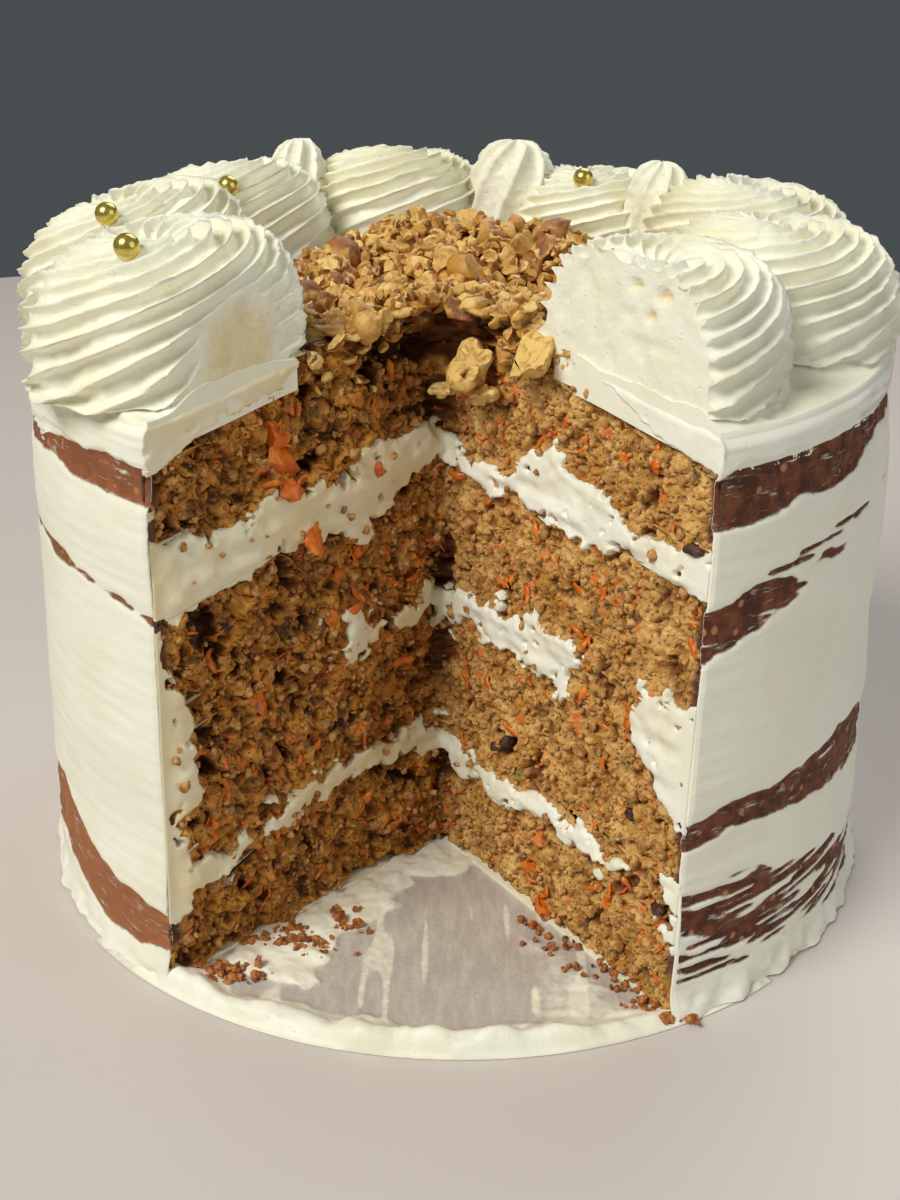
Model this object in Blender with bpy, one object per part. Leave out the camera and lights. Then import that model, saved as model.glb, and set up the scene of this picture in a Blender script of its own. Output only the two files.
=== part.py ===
"""A tall carrot layer cake with a wide wedge cut out of its front.

Four sponges and three cream fillings stand on a thin smear of cream. A scraped coat of cream
wraps the side, a cream slab covers the top, and eight piped rosettes ring a heap of chopped
walnuts. Metres, +Z up, origin at the middle of the foot, front towards -Y. An azimuth is
measured at the middle, from the front and growing to the left; a heading is measured the same
way at the inner end of the cut.
"""

import math

import bmesh
import bpy
from mathutils import Vector, noise

# Round body
FOOT_RADIUS = 0.1000
BODY_RADIUS = 0.0985
RIM_RADIUS = 0.0955
RIM_HEIGHT = 0.1215
FOOT_FLARE_HEIGHT = 0.0080
COAT_THICKNESS = 0.0040
BASE_CREAM_THICKNESS = 0.0012
GAP = 0.0003

# Missing wedge
CUT_END = Vector((-0.0035, -0.0200))
CUT_END_RADIUS = 0.0030
LEFT_HEADING = math.radians(44.0)
RIGHT_HEADING_FOOT = math.radians(360.0 - 34.5)
RIGHT_HEADING_RIM = math.radians(360.0 - 38.0)

# Heights of the surfaces between the layers, at the inner end of the cut and round the rim
STATION_AZIMUTHS = tuple(math.radians(a) for a in (0.0, 37.0, 82.0, 180.0, 280.0, 331.0, 360.0))
LEVELS = {
    "floor": (0.0015, (0.0015, 0.0015, 0.0015, 0.0015, 0.0015)),
    "sponge_1": (0.0220, (0.0210, 0.0210, 0.0220, 0.0220, 0.0220)),
    "filling_1": (0.0310, (0.0300, 0.0295, 0.0300, 0.0305, 0.0300)),
    "sponge_2": (0.0590, (0.0570, 0.0560, 0.0590, 0.0595, 0.0580)),
    "filling_2": (0.0660, (0.0630, 0.0625, 0.0660, 0.0670, 0.0660)),
    "sponge_3": (0.0940, (0.0820, 0.0840, 0.0920, 0.0945, 0.0930)),
    "filling_3": (0.1040, (0.0970, 0.0965, 0.1010, 0.1040, 0.1010)),
    "sponge_4": (0.1260, (0.1125, 0.1065, 0.1130, 0.1165, 0.1140)),
    "top_cream": (0.1280, (0.1215, 0.1150, 0.1210, 0.1250, 0.1225)),
}
DOMED_LEVELS = ("sponge_4", "top_cream")
DOME_EDGE = 0.5

# Piped cream: azimuth in degrees, distance from the middle, radius, height over its seat
ROSETTES = (
    (54.0, 0.0730, 0.0285, 0.0275),
    (91.0, 0.0729, 0.0270, 0.0305),
    (127.0, 0.0720, 0.0265, 0.0300),
    (166.0, 0.0700, 0.0265, 0.0295),
    (211.0, 0.0700, 0.0265, 0.0250),
    (252.0, 0.0715, 0.0265, 0.0270),
    (289.5, 0.0690, 0.0265, 0.0250),
    (327.0, 0.0675, 0.0258, 0.0255),
)
DOLLOPS = (
    (143.5, 0.0710, 0.0080, 0.0330),
    (193.0, 0.0600, 0.0122, 0.0290),
    (231.5, 0.0620, 0.0075, 0.0265),
)
RIDGES = 14
RIDGE_DEPTH = 0.0023
ROSETTE_TWIST = math.radians(283.0)
ROSETTE_RINGS = 8
EYE_DEPTH = 0.0045
EYE_RADIUS = 0.0055
DOLLOP_RIDGES = 8
DOLLOP_RIDGE_DEPTH = 0.0009
DOLLOP_RINGS = 6
DOLLOP_TWIST = math.radians(25.0)
SEAT_LEAN = 0.8

# Walnuts
HEAP_RADIUS = 0.0400
HEAP_FRONT_HEIGHT = 0.1300
HEAP_BACK_HEIGHT = 0.1430
HEAP_LUMP = 0.0032
WALNUT_PIECES = (
    (Vector((-0.0005, -0.0345, 0.1235)), Vector((0.0054, 0.0038, 0.0046))),
    (Vector((0.0010, -0.0340, 0.1145)), Vector((0.0036, 0.0030, 0.0028))),
)

# Smear of cream left on the board inside the cut
SMEAR_RIDGE_HEIGHT = 0.0030
SMEAR_RIDGE_START = math.radians(-26.0)
SMEAR_RIDGE_END = math.radians(37.0)

SECTORS = 26


def clear_scene():
    for old in list(bpy.data.objects):
        bpy.data.objects.remove(old, do_unlink=True)


def material(name, colour, roughness, subsurface=0.0):
    made = bpy.data.materials.new(name)
    made.use_nodes = True
    shader = made.node_tree.nodes["Principled BSDF"]
    shader.inputs["Base Color"].default_value = (*colour, 1.0)
    shader.inputs["Roughness"].default_value = roughness
    shader.inputs["Metallic"].default_value = 0.0
    shader.inputs["Subsurface Weight"].default_value = subsurface
    made.diffuse_color = (*colour, 1.0)
    return made


def smoothstep(low, high, value):
    t = min(max((value - low) / (high - low), 0.0), 1.0)
    return t * t * (3.0 - 2.0 * t)


def direction(angle):
    """Unit vector across the board for an azimuth or a heading."""
    return Vector((-math.sin(angle), -math.cos(angle)))


def azimuth_of(point):
    return math.atan2(-point.x, -point.y) % (2.0 * math.pi)


def reach(heading, radius):
    """Distance from the inner end of the cut to the circle of this radius."""
    along = CUT_END.dot(direction(heading))
    return -along + math.sqrt(along * along - CUT_END.length_squared + radius * radius)


def right_heading(z):
    return RIGHT_HEADING_FOOT + (RIGHT_HEADING_RIM - RIGHT_HEADING_FOOT) * z / RIM_HEIGHT


def body_radius(z):
    """Outer radius of the cake: it narrows upwards and flares at the foot."""
    taper = BODY_RADIUS + (RIM_RADIUS - BODY_RADIUS) * z / RIM_HEIGHT
    flare = max(0.0, 1.0 - z / FOOT_FLARE_HEIGHT)
    return taper + (FOOT_RADIUS - BODY_RADIUS) * flare * flare


def rim_height(values, azimuth):
    """Smooth run through the heights at the five stations from one corner round to the other."""
    front = 0.5 * (values[0] + values[-1])
    heights = (front, *values, front)
    for index in range(len(heights) - 1):
        low, high = STATION_AZIMUTHS[index], STATION_AZIMUTHS[index + 1]
        if azimuth <= high:
            share = smoothstep(low, high, azimuth)
            return heights[index] + (heights[index + 1] - heights[index]) * share
    return front


def level(name, point):
    """Height of the surface on top of the named layer."""
    inner, rim = LEVELS[name]
    outer = rim_height(rim, azimuth_of(point))
    share = point.length / RIM_RADIUS
    if name in DOMED_LEVELS:
        blend = smoothstep(DOME_EDGE, 1.0, share)
    else:
        blend = min(share, 1.0) ** 2
    return inner + (outer - inner) * blend


def add_object(name, bm, finish):
    bmesh.ops.recalc_face_normals(bm, faces=bm.faces)
    mesh = bpy.data.meshes.new(name)
    bm.to_mesh(mesh)
    bm.free()
    mesh.materials.append(finish)
    mesh.shade_smooth()
    mesh.set_sharp_from_angle(angle=math.radians(40.0))
    made = bpy.data.objects.new(name, mesh)
    bpy.context.scene.collection.objects.link(made)
    return made


def unit_grid(bm, columns, rows):
    """Grid whose vertices hold their place in it, from 0 to 1 each way."""
    bmesh.ops.create_grid(bm, x_segments=columns, y_segments=rows, size=0.5)
    for vert in bm.verts:
        vert.co = Vector((vert.co.x + 0.5, vert.co.y + 0.5, 0.0))


def two_skins(bm, first, second):
    """Closes a grid into a solid: its own faces go to first(u, v), their copy to second(u, v)."""
    places = {vert: vert.co.copy() for vert in bm.verts}
    made = bmesh.ops.extrude_face_region(bm, geom=bm.faces[:], use_keep_orig=True)
    copies = [item for item in made["geom"] if isinstance(item, bmesh.types.BMVert)]
    for vert in copies:
        vert.co = second(vert.co.x, vert.co.y)
    for vert, place in places.items():
        vert.co = first(place.x, place.y)


def sector_point(u, v, z, radius, inner=CUT_END_RADIUS):
    """Point of the cake's plan: u runs round from the left cut to the right cut, v outwards."""
    heading = LEFT_HEADING + (right_heading(z) - LEFT_HEADING) * u
    distance = inner + (reach(heading, radius) - inner) * v
    flat = CUT_END + direction(heading) * distance
    return Vector((flat.x, flat.y))


def slab(name, under, over, rings, finish, lip=False):
    """A layer of the cake, between the surfaces on top of two named layers.

    With a lip it has one more ring, which reaches over the side coat to the outside.
    """
    last = len(rings) - 1 + lip

    def skin(surface, offset):
        nominal = LEVELS[surface][0]

        def place(u, v):
            ring = round(v * last)
            if lip and ring == last:
                flat = sector_point(u, 1.0, nominal, body_radius(nominal))
            else:
                flat = sector_point(u, rings[ring], nominal, crumb_radius(nominal))
            return Vector((flat.x, flat.y, level(surface, flat) + offset))

        return place

    bm = bmesh.new()
    unit_grid(bm, SECTORS, last)
    two_skins(bm, skin(under, GAP / 2), skin(over, -GAP / 2))
    return add_object(name, bm, finish)


def crumb_radius(z):
    return body_radius(max(z, FOOT_FLARE_HEIGHT)) - COAT_THICKNESS - GAP


def side_coat(finish):
    """Thin coat of cream round the side, from the board up to the cream on top."""
    rows = (0.0, 0.03, 0.07, 0.4, 0.7, 1.0)

    def place(radius_at):
        def at(u, v):
            share = rows[round(v * (len(rows) - 1))]
            low = LEVELS["floor"][0] + GAP
            rough = sector_point(u, 1.0, RIM_HEIGHT * share, RIM_RADIUS)
            high = level("sponge_4", rough) - GAP
            z = low + (high - low) * share
            flat = sector_point(u, 1.0, z, radius_at(z))
            return Vector((flat.x, flat.y, z))

        return at

    bm = bmesh.new()
    unit_grid(bm, SECTORS, len(rows) - 1)
    two_skins(bm, place(body_radius), place(lambda z: crumb_radius(z) + GAP))
    return add_object("side_coat", bm, finish)


def base_cream(finish):
    """Cream under the whole cake, with the raised edge that the slice left behind."""
    rings = (0.0, 0.45, 0.86, 0.93, 0.97, 1.0)

    def share_at(v):
        return rings[round(v * (len(rings) - 1))]

    def under(u, v):
        flat = direction(2.0 * math.pi * u) * FOOT_RADIUS * share_at(v)
        return Vector((flat.x, flat.y, 0.0))

    def over(u, v):
        point = under(u, v)
        azimuth = (2.0 * math.pi * u + math.pi) % (2.0 * math.pi) - math.pi
        on_ridge = smoothstep(SMEAR_RIDGE_START, 0.0, azimuth)
        on_ridge *= 1.0 - smoothstep(SMEAR_RIDGE_END - 0.12, SMEAR_RIDGE_END - 0.02, azimuth)
        crest = max(0.0, 1.0 - abs(share_at(v) - 0.965) / 0.04)
        point.z = BASE_CREAM_THICKNESS + SMEAR_RIDGE_HEIGHT * on_ridge * crest
        return point

    bm = bmesh.new()
    bmesh.ops.create_circle(bm, segments=2 * SECTORS, radius=1.0, cap_ends=False)
    rim = bm.edges[:]
    for share in reversed(rings[1:-1]):
        made = bmesh.ops.extrude_edge_only(bm, edges=rim)["geom"]
        for vert in (item for item in made if isinstance(item, bmesh.types.BMVert)):
            vert.co = vert.co.normalized() * share
        rim = [item for item in made if isinstance(item, bmesh.types.BMEdge)]
        rim = [edge for edge in rim if edge.is_boundary]
    hub = bmesh.ops.extrude_edge_only(bm, edges=rim)["geom"]
    bmesh.ops.pointmerge(
        bm,
        verts=[item for item in hub if isinstance(item, bmesh.types.BMVert)],
        merge_co=Vector((0.0, 0.0, 0.0)),
    )
    for vert in bm.verts:
        share = vert.co.length
        turn = azimuth_of(vert.co.xy) / (2.0 * math.pi) if share > 0.01 else 0.0
        row = min(range(len(rings)), key=lambda index: abs(rings[index] - share))
        vert.co = Vector((turn, row / (len(rings) - 1), 0.0))
    two_skins(bm, under, over)
    return add_object("base_cream", bm, finish)


def seat(centre, radius):
    """Plane that a piped piece sits on: its height at the centre, and its slope."""
    outward = centre.normalized()
    reach_in, reach_out = centre - outward * radius * 0.8, centre + outward * radius * 0.8
    slope = SEAT_LEAN * (level("top_cream", reach_out) - level("top_cream", reach_in)) / (1.6 * radius)
    height = 0.0
    for step in range(24):
        for share in (0.0, 0.5, 1.0):
            point = centre + direction(math.pi * step / 12.0) * radius * share
            point.length = min(point.length, RIM_RADIUS)
            rise = slope * (point - centre).dot(outward)
            height = max(height, level("top_cream", point) - rise)
    return height + GAP, slope


def piped(shape, rings, ridges, depth, twist, profile):
    """A star-piped shape whose ridges climb round it from its foot to its top."""
    azimuth, distance, radius, height = shape
    centre = direction(math.radians(azimuth)) * distance
    outward = centre.normalized()
    seat_height, slope = seat(centre, radius)
    bm = bmesh.new()
    unit_grid(bm, 2 * ridges, rings)
    for vert in bm.verts:
        u, v = vert.co.x, vert.co.y
        across, up = profile(v)
        valley = round(u * 2 * ridges) % 2
        fade = math.sin(math.pi * min(v + 0.12, 1.0)) ** 0.5
        local = across * radius - depth * valley * fade
        turn = direction(math.radians(azimuth) + 2.0 * math.pi * u - twist * v)
        flat = centre + turn * max(local, 0.0)
        lean = slope * (flat - centre).dot(outward)
        vert.co = Vector((flat.x, flat.y, seat_height + up * height + lean))
    bmesh.ops.remove_doubles(bm, verts=bm.verts, dist=1e-6)
    rim = [edge for edge in bm.edges if edge.is_boundary]
    bmesh.ops.contextual_create(bm, geom=rim)
    return bm


def rosette_profile(v):
    """Foot, full belly, rounded shoulder and sunken eye, as shares of the radius and height."""
    angle = -0.16 + (math.pi / 2 + 0.16) * v
    across = max(math.cos(angle), 0.0) ** 0.62
    up = (math.sin(max(angle, 0.0)) ** 0.80 * 0.86 + 0.14 * min(v / 0.1, 1.0)) * min(v * 30.0, 1.0)
    eye = EYE_DEPTH / 0.027 * math.exp(-((across * 0.027 / EYE_RADIUS) ** 2))
    return (across if v < 1.0 else 0.0), up - eye


def dollop_profile(v):
    """A blunt upright star: nearly straight sides and a soft rounded top."""
    across = (1.0 - v**3.2) ** 0.62 * (0.92 + 0.08 * math.sin(math.pi * v))
    return (across if v < 1.0 else 0.0), v**0.9


def cut_flat(bm, point, normal):
    """Cuts away the side that the normal points to, and closes the cut with a flat face."""
    made = bmesh.ops.bisect_plane(
        bm,
        geom=bm.verts[:] + bm.edges[:] + bm.faces[:],
        dist=1e-7,
        plane_co=point,
        plane_no=normal,
        clear_outer=True,
    )
    edges = [item for item in made["geom_cut"] if isinstance(item, bmesh.types.BMEdge)]
    if edges:
        bmesh.ops.contextual_create(bm, geom=edges)


def rosettes(finish):
    """The ring of rosettes, pressed flat where two meet and cut where the wedge was taken."""
    made = []
    for index, shape in enumerate(ROSETTES):
        bm = piped(shape, ROSETTE_RINGS, RIDGES, RIDGE_DEPTH, ROSETTE_TWIST, rosette_profile)
        for neighbour, side in ((index - 1, -1.0), (index + 1, 1.0)):
            if 0 <= neighbour < len(ROSETTES):
                middle = math.radians(0.5 * (shape[0] + ROSETTES[neighbour][0]))
                across = (direction(middle + math.pi / 2) * side).to_3d()
                cut_flat(bm, across * -GAP / 2, across)
        if index == 0:
            cut_flat(bm, CUT_END.to_3d(), direction(LEFT_HEADING - math.pi / 2).to_3d())
        if index == len(ROSETTES) - 1:
            cut_flat(bm, CUT_END.to_3d(), direction(RIGHT_HEADING_RIM + math.pi / 2).to_3d())
        made.append(add_object(f"rosette_{index + 1}", bm, finish))
    return made


def dollops(ring, finish):
    """Small upright dollops in the gaps of the ring, which the rosettes make room for."""
    for index, shape in enumerate(DOLLOPS):
        azimuth, distance, radius, _ = shape
        bm = piped(
            shape, DOLLOP_RINGS, DOLLOP_RIDGES, DOLLOP_RIDGE_DEPTH, DOLLOP_TWIST, dollop_profile
        )
        add_object(f"dollop_{index + 1}", bm, finish)
        centre = direction(math.radians(azimuth)) * distance
        width = radius * 1.03 + GAP
        room = bmesh.new()
        bmesh.ops.create_cone(
            room, cap_ends=True, segments=20, radius1=width, radius2=width, depth=RIM_HEIGHT
        )
        bmesh.ops.translate(room, verts=room.verts, vec=(centre.x, centre.y, RIM_HEIGHT))
        sleeve = add_object(f"room_for_dollop_{index + 1}", room, finish)
        sleeve.hide_render = True
        sleeve.display_type = "WIRE"
        for piece in ring:
            cut = piece.modifiers.new("room", "BOOLEAN")
            cut.object = sleeve
            cut.operation = "DIFFERENCE"


def walnut_heap(finish):
    """Heap of chopped walnuts out to its uneven outline, lying on the cream inside the ring."""
    rings = (0.0, 0.35, 0.6, 0.82, 1.0)

    def flat_at(u, v):
        return sector_point(u, rings[round(v * (len(rings) - 1))], RIM_HEIGHT, HEAP_RADIUS)

    def under(u, v):
        flat = flat_at(u, v)
        return Vector((flat.x, flat.y, level("top_cream", flat) + GAP))

    def over(u, v):
        flat = flat_at(u, v)
        climb = smoothstep(CUT_END.y, HEAP_RADIUS, flat.y)
        lump = noise.noise(Vector((flat.x, flat.y, 0.0)) * 130.0) * HEAP_LUMP
        edge = 0.0025 * smoothstep(0.75, 1.0, v)
        z = HEAP_FRONT_HEIGHT + (HEAP_BACK_HEIGHT - HEAP_FRONT_HEIGHT) * climb + lump - edge
        return Vector((flat.x, flat.y, max(z, level("top_cream", flat) + 0.001)))

    bm = bmesh.new()
    unit_grid(bm, SECTORS, len(rings) - 1)
    two_skins(bm, under, over)
    return add_object("walnut_heap", bm, finish)


def walnut_pieces(finish):
    """The two large pieces that slid onto the cut below the heap."""
    for index, (place, half) in enumerate(WALNUT_PIECES):
        bm = bmesh.new()
        bmesh.ops.create_icosphere(bm, subdivisions=2, radius=1.0)
        for vert in bm.verts:
            lump = 1.0 + 0.22 * noise.noise(vert.co * 1.7 + Vector((index * 5.0, 0.0, 0.0)))
            vert.co = Vector([axis * size for axis, size in zip(vert.co * lump, half)])
        bmesh.ops.translate(bm, verts=bm.verts, vec=place)
        add_object(f"walnut_piece_{index + 1}", bm, finish)


def main():
    clear_scene()
    sponge = material("carrot sponge", (0.33, 0.18, 0.07), 0.9)
    cream = material("whipped cream", (0.88, 0.85, 0.74), 0.55, subsurface=0.2)
    walnut = material("chopped walnut", (0.55, 0.34, 0.16), 0.7)
    coarse = (0.0, 0.5, 1.0)
    domed = (0.0, 0.4, 0.62, 0.74, 0.86, 1.0)
    base_cream(cream)
    slab("sponge_1", "floor", "sponge_1", coarse, sponge)
    slab("filling_1", "sponge_1", "filling_1", coarse, cream)
    slab("sponge_2", "filling_1", "sponge_2", coarse, sponge)
    slab("filling_2", "sponge_2", "filling_2", coarse, cream)
    slab("sponge_3", "filling_2", "sponge_3", coarse, sponge)
    slab("filling_3", "sponge_3", "filling_3", coarse, cream)
    slab("sponge_4", "filling_3", "sponge_4", domed, sponge)
    slab("top_cream", "sponge_4", "top_cream", domed, cream, lip=True)
    side_coat(cream)
    dollops(rosettes(cream), cream)
    walnut_heap(walnut)
    walnut_pieces(walnut)


main()
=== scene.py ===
"""Looks for a tall carrot layer cake with a wide wedge cut out of its front.

The cut faces are one torn sheet of crumb and smeared cream, shared out between the layers.
Round the side goes a scraped coat of cream that lets the crust through, and on top stand piped
rosettes, a heap of chopped walnuts and a few sugar pearls. Lengths are millimetres in the shaping
functions and metres in the finished meshes. An azimuth is measured at the middle, from the front
and growing to the left; a heading is measured the same way at the inner end of the cut. The
distance along the cut is below zero on its left face and above zero on its right face.
"""

import math

import bmesh
import bpy
import numpy as np
from mathutils import Matrix, Vector


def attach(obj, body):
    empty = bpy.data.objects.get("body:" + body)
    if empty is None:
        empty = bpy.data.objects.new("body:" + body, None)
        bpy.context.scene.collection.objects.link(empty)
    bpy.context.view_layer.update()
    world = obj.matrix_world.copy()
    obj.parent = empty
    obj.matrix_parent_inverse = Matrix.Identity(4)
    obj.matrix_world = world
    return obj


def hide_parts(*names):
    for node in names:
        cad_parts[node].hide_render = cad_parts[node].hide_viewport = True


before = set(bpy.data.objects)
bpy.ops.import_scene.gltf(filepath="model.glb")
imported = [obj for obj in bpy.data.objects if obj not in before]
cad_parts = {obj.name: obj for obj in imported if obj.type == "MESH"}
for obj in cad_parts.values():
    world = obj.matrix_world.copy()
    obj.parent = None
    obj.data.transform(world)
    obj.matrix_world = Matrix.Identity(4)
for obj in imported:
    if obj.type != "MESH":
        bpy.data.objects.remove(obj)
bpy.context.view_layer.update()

# Round body
FOOT_RADIUS = 100.0
BODY_RADIUS = 98.5
RIM_RADIUS = 95.5
RIM_HEIGHT = 121.5
FOOT_FLARE_HEIGHT = 8.0
COAT_THICKNESS = 4.3

# Missing wedge
CUT_END = np.array((-3.5, -20.0))
CUT_END_BLEND = 4.0
LEFT_HEADING = math.radians(44.0)
RIGHT_HEADING_FOOT = math.radians(360.0 - 34.5)
RIGHT_HEADING_RIM = math.radians(360.0 - 38.0)

# Heights of the surfaces between the layers, at the inner end of the cut and round the rim
STATION_AZIMUTHS = np.radians((0.0, 37.0, 82.0, 180.0, 280.0, 331.0, 360.0))
LEVELS = {
    "floor": (1.5, (1.5, 1.5, 1.5, 1.5, 1.5)),
    "sponge_1": (22.0, (21.0, 21.0, 22.0, 22.0, 22.0)),
    "filling_1": (31.0, (30.0, 29.5, 30.0, 30.5, 30.0)),
    "sponge_2": (59.0, (57.0, 56.0, 59.0, 59.5, 58.0)),
    "filling_2": (66.0, (63.0, 62.5, 66.0, 67.0, 66.0)),
    "sponge_3": (94.0, (82.0, 84.0, 92.0, 94.5, 93.0)),
    "filling_3": (104.0, (97.0, 96.5, 101.0, 104.0, 101.0)),
    "sponge_4": (126.0, (112.5, 106.5, 113.0, 116.5, 114.0)),
    "top_cream": (128.0, (121.5, 115.0, 121.0, 125.0, 122.5)),
}
LAYERS = tuple(LEVELS)[1:]

# Cream smeared over the cut, as outlines of (distance along the cut, height), each with the
# raggedness of its edge
SMEARS = (
    (1.0, ((-90, 99), (-77, 99), (-67, 97.5), (-58, 97.3), (-51, 98.7), (-41, 100.5), (-28, 101), (-22, 106),
    (-12, 108),
           (-3, 108), (4, 104), (10, 100.3), (21, 98.7), (26, 103), (30, 106.7), (35, 109.9), (41, 106.4), (52, 103.1),
           (60, 98.2), (67, 97.3), (72, 99.9), (90, 99.6), (90, 93.7), (71, 92.7), (60, 94), (50, 93.1), (40, 93.4),
           (27, 95.1), (14, 95.7), (-1, 98), (-13, 94.5), (-20, 91), (-23, 84), (-28, 84.5), (-30, 89), (-42, 88.1),
           (-50, 88.7), (-60, 86.2), (-70, 83.2), (-90, 82.9))),
    (1.4, ((-5, 69.4), (0, 67), (11, 67.8), (25, 69.2), (35, 70.5), (47, 70.1), (46, 65.3), (43, 58.4), (36, 60.2),
           (25, 58.6), (15, 59.4), (-1, 59.5), (-5, 64.5), (-15, 59.5), (-19, 66.5))),
    (1.8, ((-19, 67.5), (-28, 72.5), (-33, 69.0), (-30, 60.5), (-24, 61.0))),
    (1.1, ((-53, 29.4), (-47, 30.7), (-35, 32.2), (-20, 33.9), (-5, 34.5), (0, 30.5), (8, 31), (23, 28.7), (37, 30.2),
           (51, 29.2), (60, 28), (69, 28.4), (57, 24.6), (44, 24.8), (27, 22.6), (12, 23.5), (-4, 25), (-14, 28.9),
           (-32, 27.2), (-44, 25.8), (-54, 26.3))),
    (1.0, ((-75, 26), (-71, 27.8), (-65, 26.6), (-60, 29.1), (-58, 25.6), (-64, 23.1), (-72, 20.7), (-75, 22))),
    (0.8, ((90, 81), (83, 80), (81, 71), (77, 68), (72, 69.9), (66, 65.6), (63, 59.9), (67, 54.8), (72, 48),
           (80, 42.6), (90, 40.6))),
    (0.8, ((-92, 13), (-78.5, 13), (-75, 16), (-74.5, 25), (-76, 36), (-70.5, 43), (-70, 50), (-73.5, 64), (-76.5, 74),
           (-78, 80), (-92, 80))),
    (1.3, ((90, 32), (78, 31), (74, 29), (79, 26), (82, 21), (78, 19), (79, 15), (90, 14))),
)
SLAB_EDGE = ((-90, 110), (-81, 110), (-75, 112), (-63, 118), (-51, 121), (-40, 125), (-38, 140), (40, 140), (41, 127.5),
             (45, 126.6), (52, 125), (63, 119), (78, 115.4), (85, 114.2), (90, 114))

# Crust that shows through the coat, as (azimuth, lower edge, upper edge, strength) stations
CRUST_BANDS = (
    ((-29, 104, 113, 1), (-33, 105, 116, 1), (-41, 107.5, 117.5, 1), (-48, 107.3, 119, 1), (-55, 109, 121, 0.9),
     (-62, 112, 122, 0.8), (-75, 113, 121, 0.7), (-100, 111, 119, 0.75), (-140, 109, 116, 0.65), (-180, 108, 113, 0.8)),
    ((37, 106, 112, 1), (41, 106.5, 113, 1), (48, 106.8, 113.6, 1), (55, 107, 112.5, 1), (62, 107, 113, 1),
     (75, 105, 111, 0.9), (100, 103, 109, 0.75), (140, 104, 110, 0.7), (180, 108, 113, 0.8)),
    ((37, 81.8, 83.4, 1), (43, 83.4, 85.3, 1), (50, 84.6, 87, 1), (57, 85.2, 88.6, 1), (66, 86, 90, 0.8),
     (90, 84, 88, 0.55), (120, 84, 90, 0.5), (180, 88, 94, 0.55)),
    ((-28, 79, 90, 0.72), (-34, 82, 91, 0.72), (-39, 84.8, 93.3, 0.66), (-43, 88.5, 95.4, 0.45), (-50, 91, 97, 0.36),
     (-58, 97, 103, 0.4), (-70, 99, 104, 0.5), (-110, 92, 98, 0.5), (-180, 88, 94, 0.55)),
    ((-28, 39, 44, 0.9), (-34, 40.5, 47, 1), (-41, 40, 47.2, 1), (-49, 38.5, 46.8, 0.95), (-56, 36.5, 49.5, 0.9),
     (-73, 33, 48, 0.85), (-110, 36, 44, 0.7), (-150, 35, 41, 0.45), (-180, 38, 38, 0.1)),
    ((-28, 8, 31, 0.5), (-37, 7, 29, 0.58), (-46, 7, 26, 0.62), (-60, 5, 20, 0.6), (-80, 5, 18, 0.6),
     (-120, 6, 19, 0.65),
     (-180, 8, 21, 0.7)),
    ((37, 8, 17.5, 1), (43, 6, 18.8, 1), (51, 6.5, 21, 1), (59, 8.5, 25.5, 1), (65, 15, 29.7, 0.95), (80, 12, 26, 0.85),
     (120, 8, 22, 0.75), (180, 8, 21, 0.7)),
)

# Piped cream: azimuth in degrees, distance from the middle, radius, height over its seat
ROSETTES = (
    (54.0, 73.0, 28.5, 27.5),
    (91.0, 72.9, 27.0, 30.5),
    (127.0, 72.0, 26.5, 30.0),
    (166.0, 70.0, 26.5, 29.5),
    (211.0, 70.0, 26.5, 25.0),
    (252.0, 71.5, 26.5, 27.0),
    (289.5, 69.0, 26.5, 25.0),
    (327.0, 67.5, 25.8, 25.5),
)
DOLLOPS = ((143.5, 71.0, 9.4, 33.5), (193.0, 60.0, 12.6, 30.5), (231.5, 62.0, 9.2, 27.5))
RIDGES = 12
RIDGE_DEPTH = 2.7
ROSETTE_TWIST = math.radians(283.0)
EYE_DEPTH = 4.5
EYE_RADIUS = 5.5
PLUG_DEPTH = 5.0
SEAT_LEAN = 0.8

# Walnuts and pearls
HEAP_RADIUS = 40.0
HEAP_FRONT_HEIGHT = 130.0
HEAP_BACK_HEIGHT = 143.0
PEARL_RADIUS = 2.5
PEARLS = ((-61.9, -57.9, 0.9), (-74.1, -18.2, 0.9), (-54.4, 22.2, -0.4), (30.0, 42.8, 0.2))  # x, y, height over cream

# Bits that stand out, as (distance along the cut, height, size) or without a size, bare patches of
# the board as outlines, and loose crumbs on it as (x, y, number)
CARROT_SPOTS = ((-46, 111), (-43, 108), (-48, 105), (-45, 113), (-42, 104), (-39, 91), (-25, 83), (-53, 58.5),
                (-15, 12),
                (-67, 32), (-28, 72), (-12, 54), (-35, 26), (13, 105.7), (21, 74), (40, 2.5), (48, 72), (62, 60.5),
                (36, 113), (35, 7), (64, 17.7), (6, 99.4), (46, 82), (77, 87))
CARROT_CHUNKS = ((-46, 112, 4.2), (-45.5, 106, 4.6), (-44, 101.5, 3.2), (-39, 91, 3.4), (-54, 57, 2.6), (-25, 83, 2.4),
                 (-11, 12, 2.6), (26, 104, 2.2), (34, 8, 2.8), (62, 16, 2.0), (20, 75, 1.9), (41, 2.6, 2.2),
                 (-67, 33, 2.0),
                 (55, 112, 1.8), (-20, 100, 2.0), (-60, 45, 2.0), (-33, 70, 2.2), (30, 45, 1.6))
DARK_SPOTS = ((21, 35.5), (19.5, 33.5), (23, 37), (77, 100), (78, 26), (77, 23), (-30, 44), (66, 40), (-60, 75))
BOARD_PATCHES = (((-50, -74), (-42, -58), (-31, -42), (-14, -26), (-4, -25), (-12, -44), (-25, -62), (-31, -80)),
                 ((15, -56), (24, -62), (36, -77), (44, -92), (22, -97), (13, -88), (15, -70)))
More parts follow.
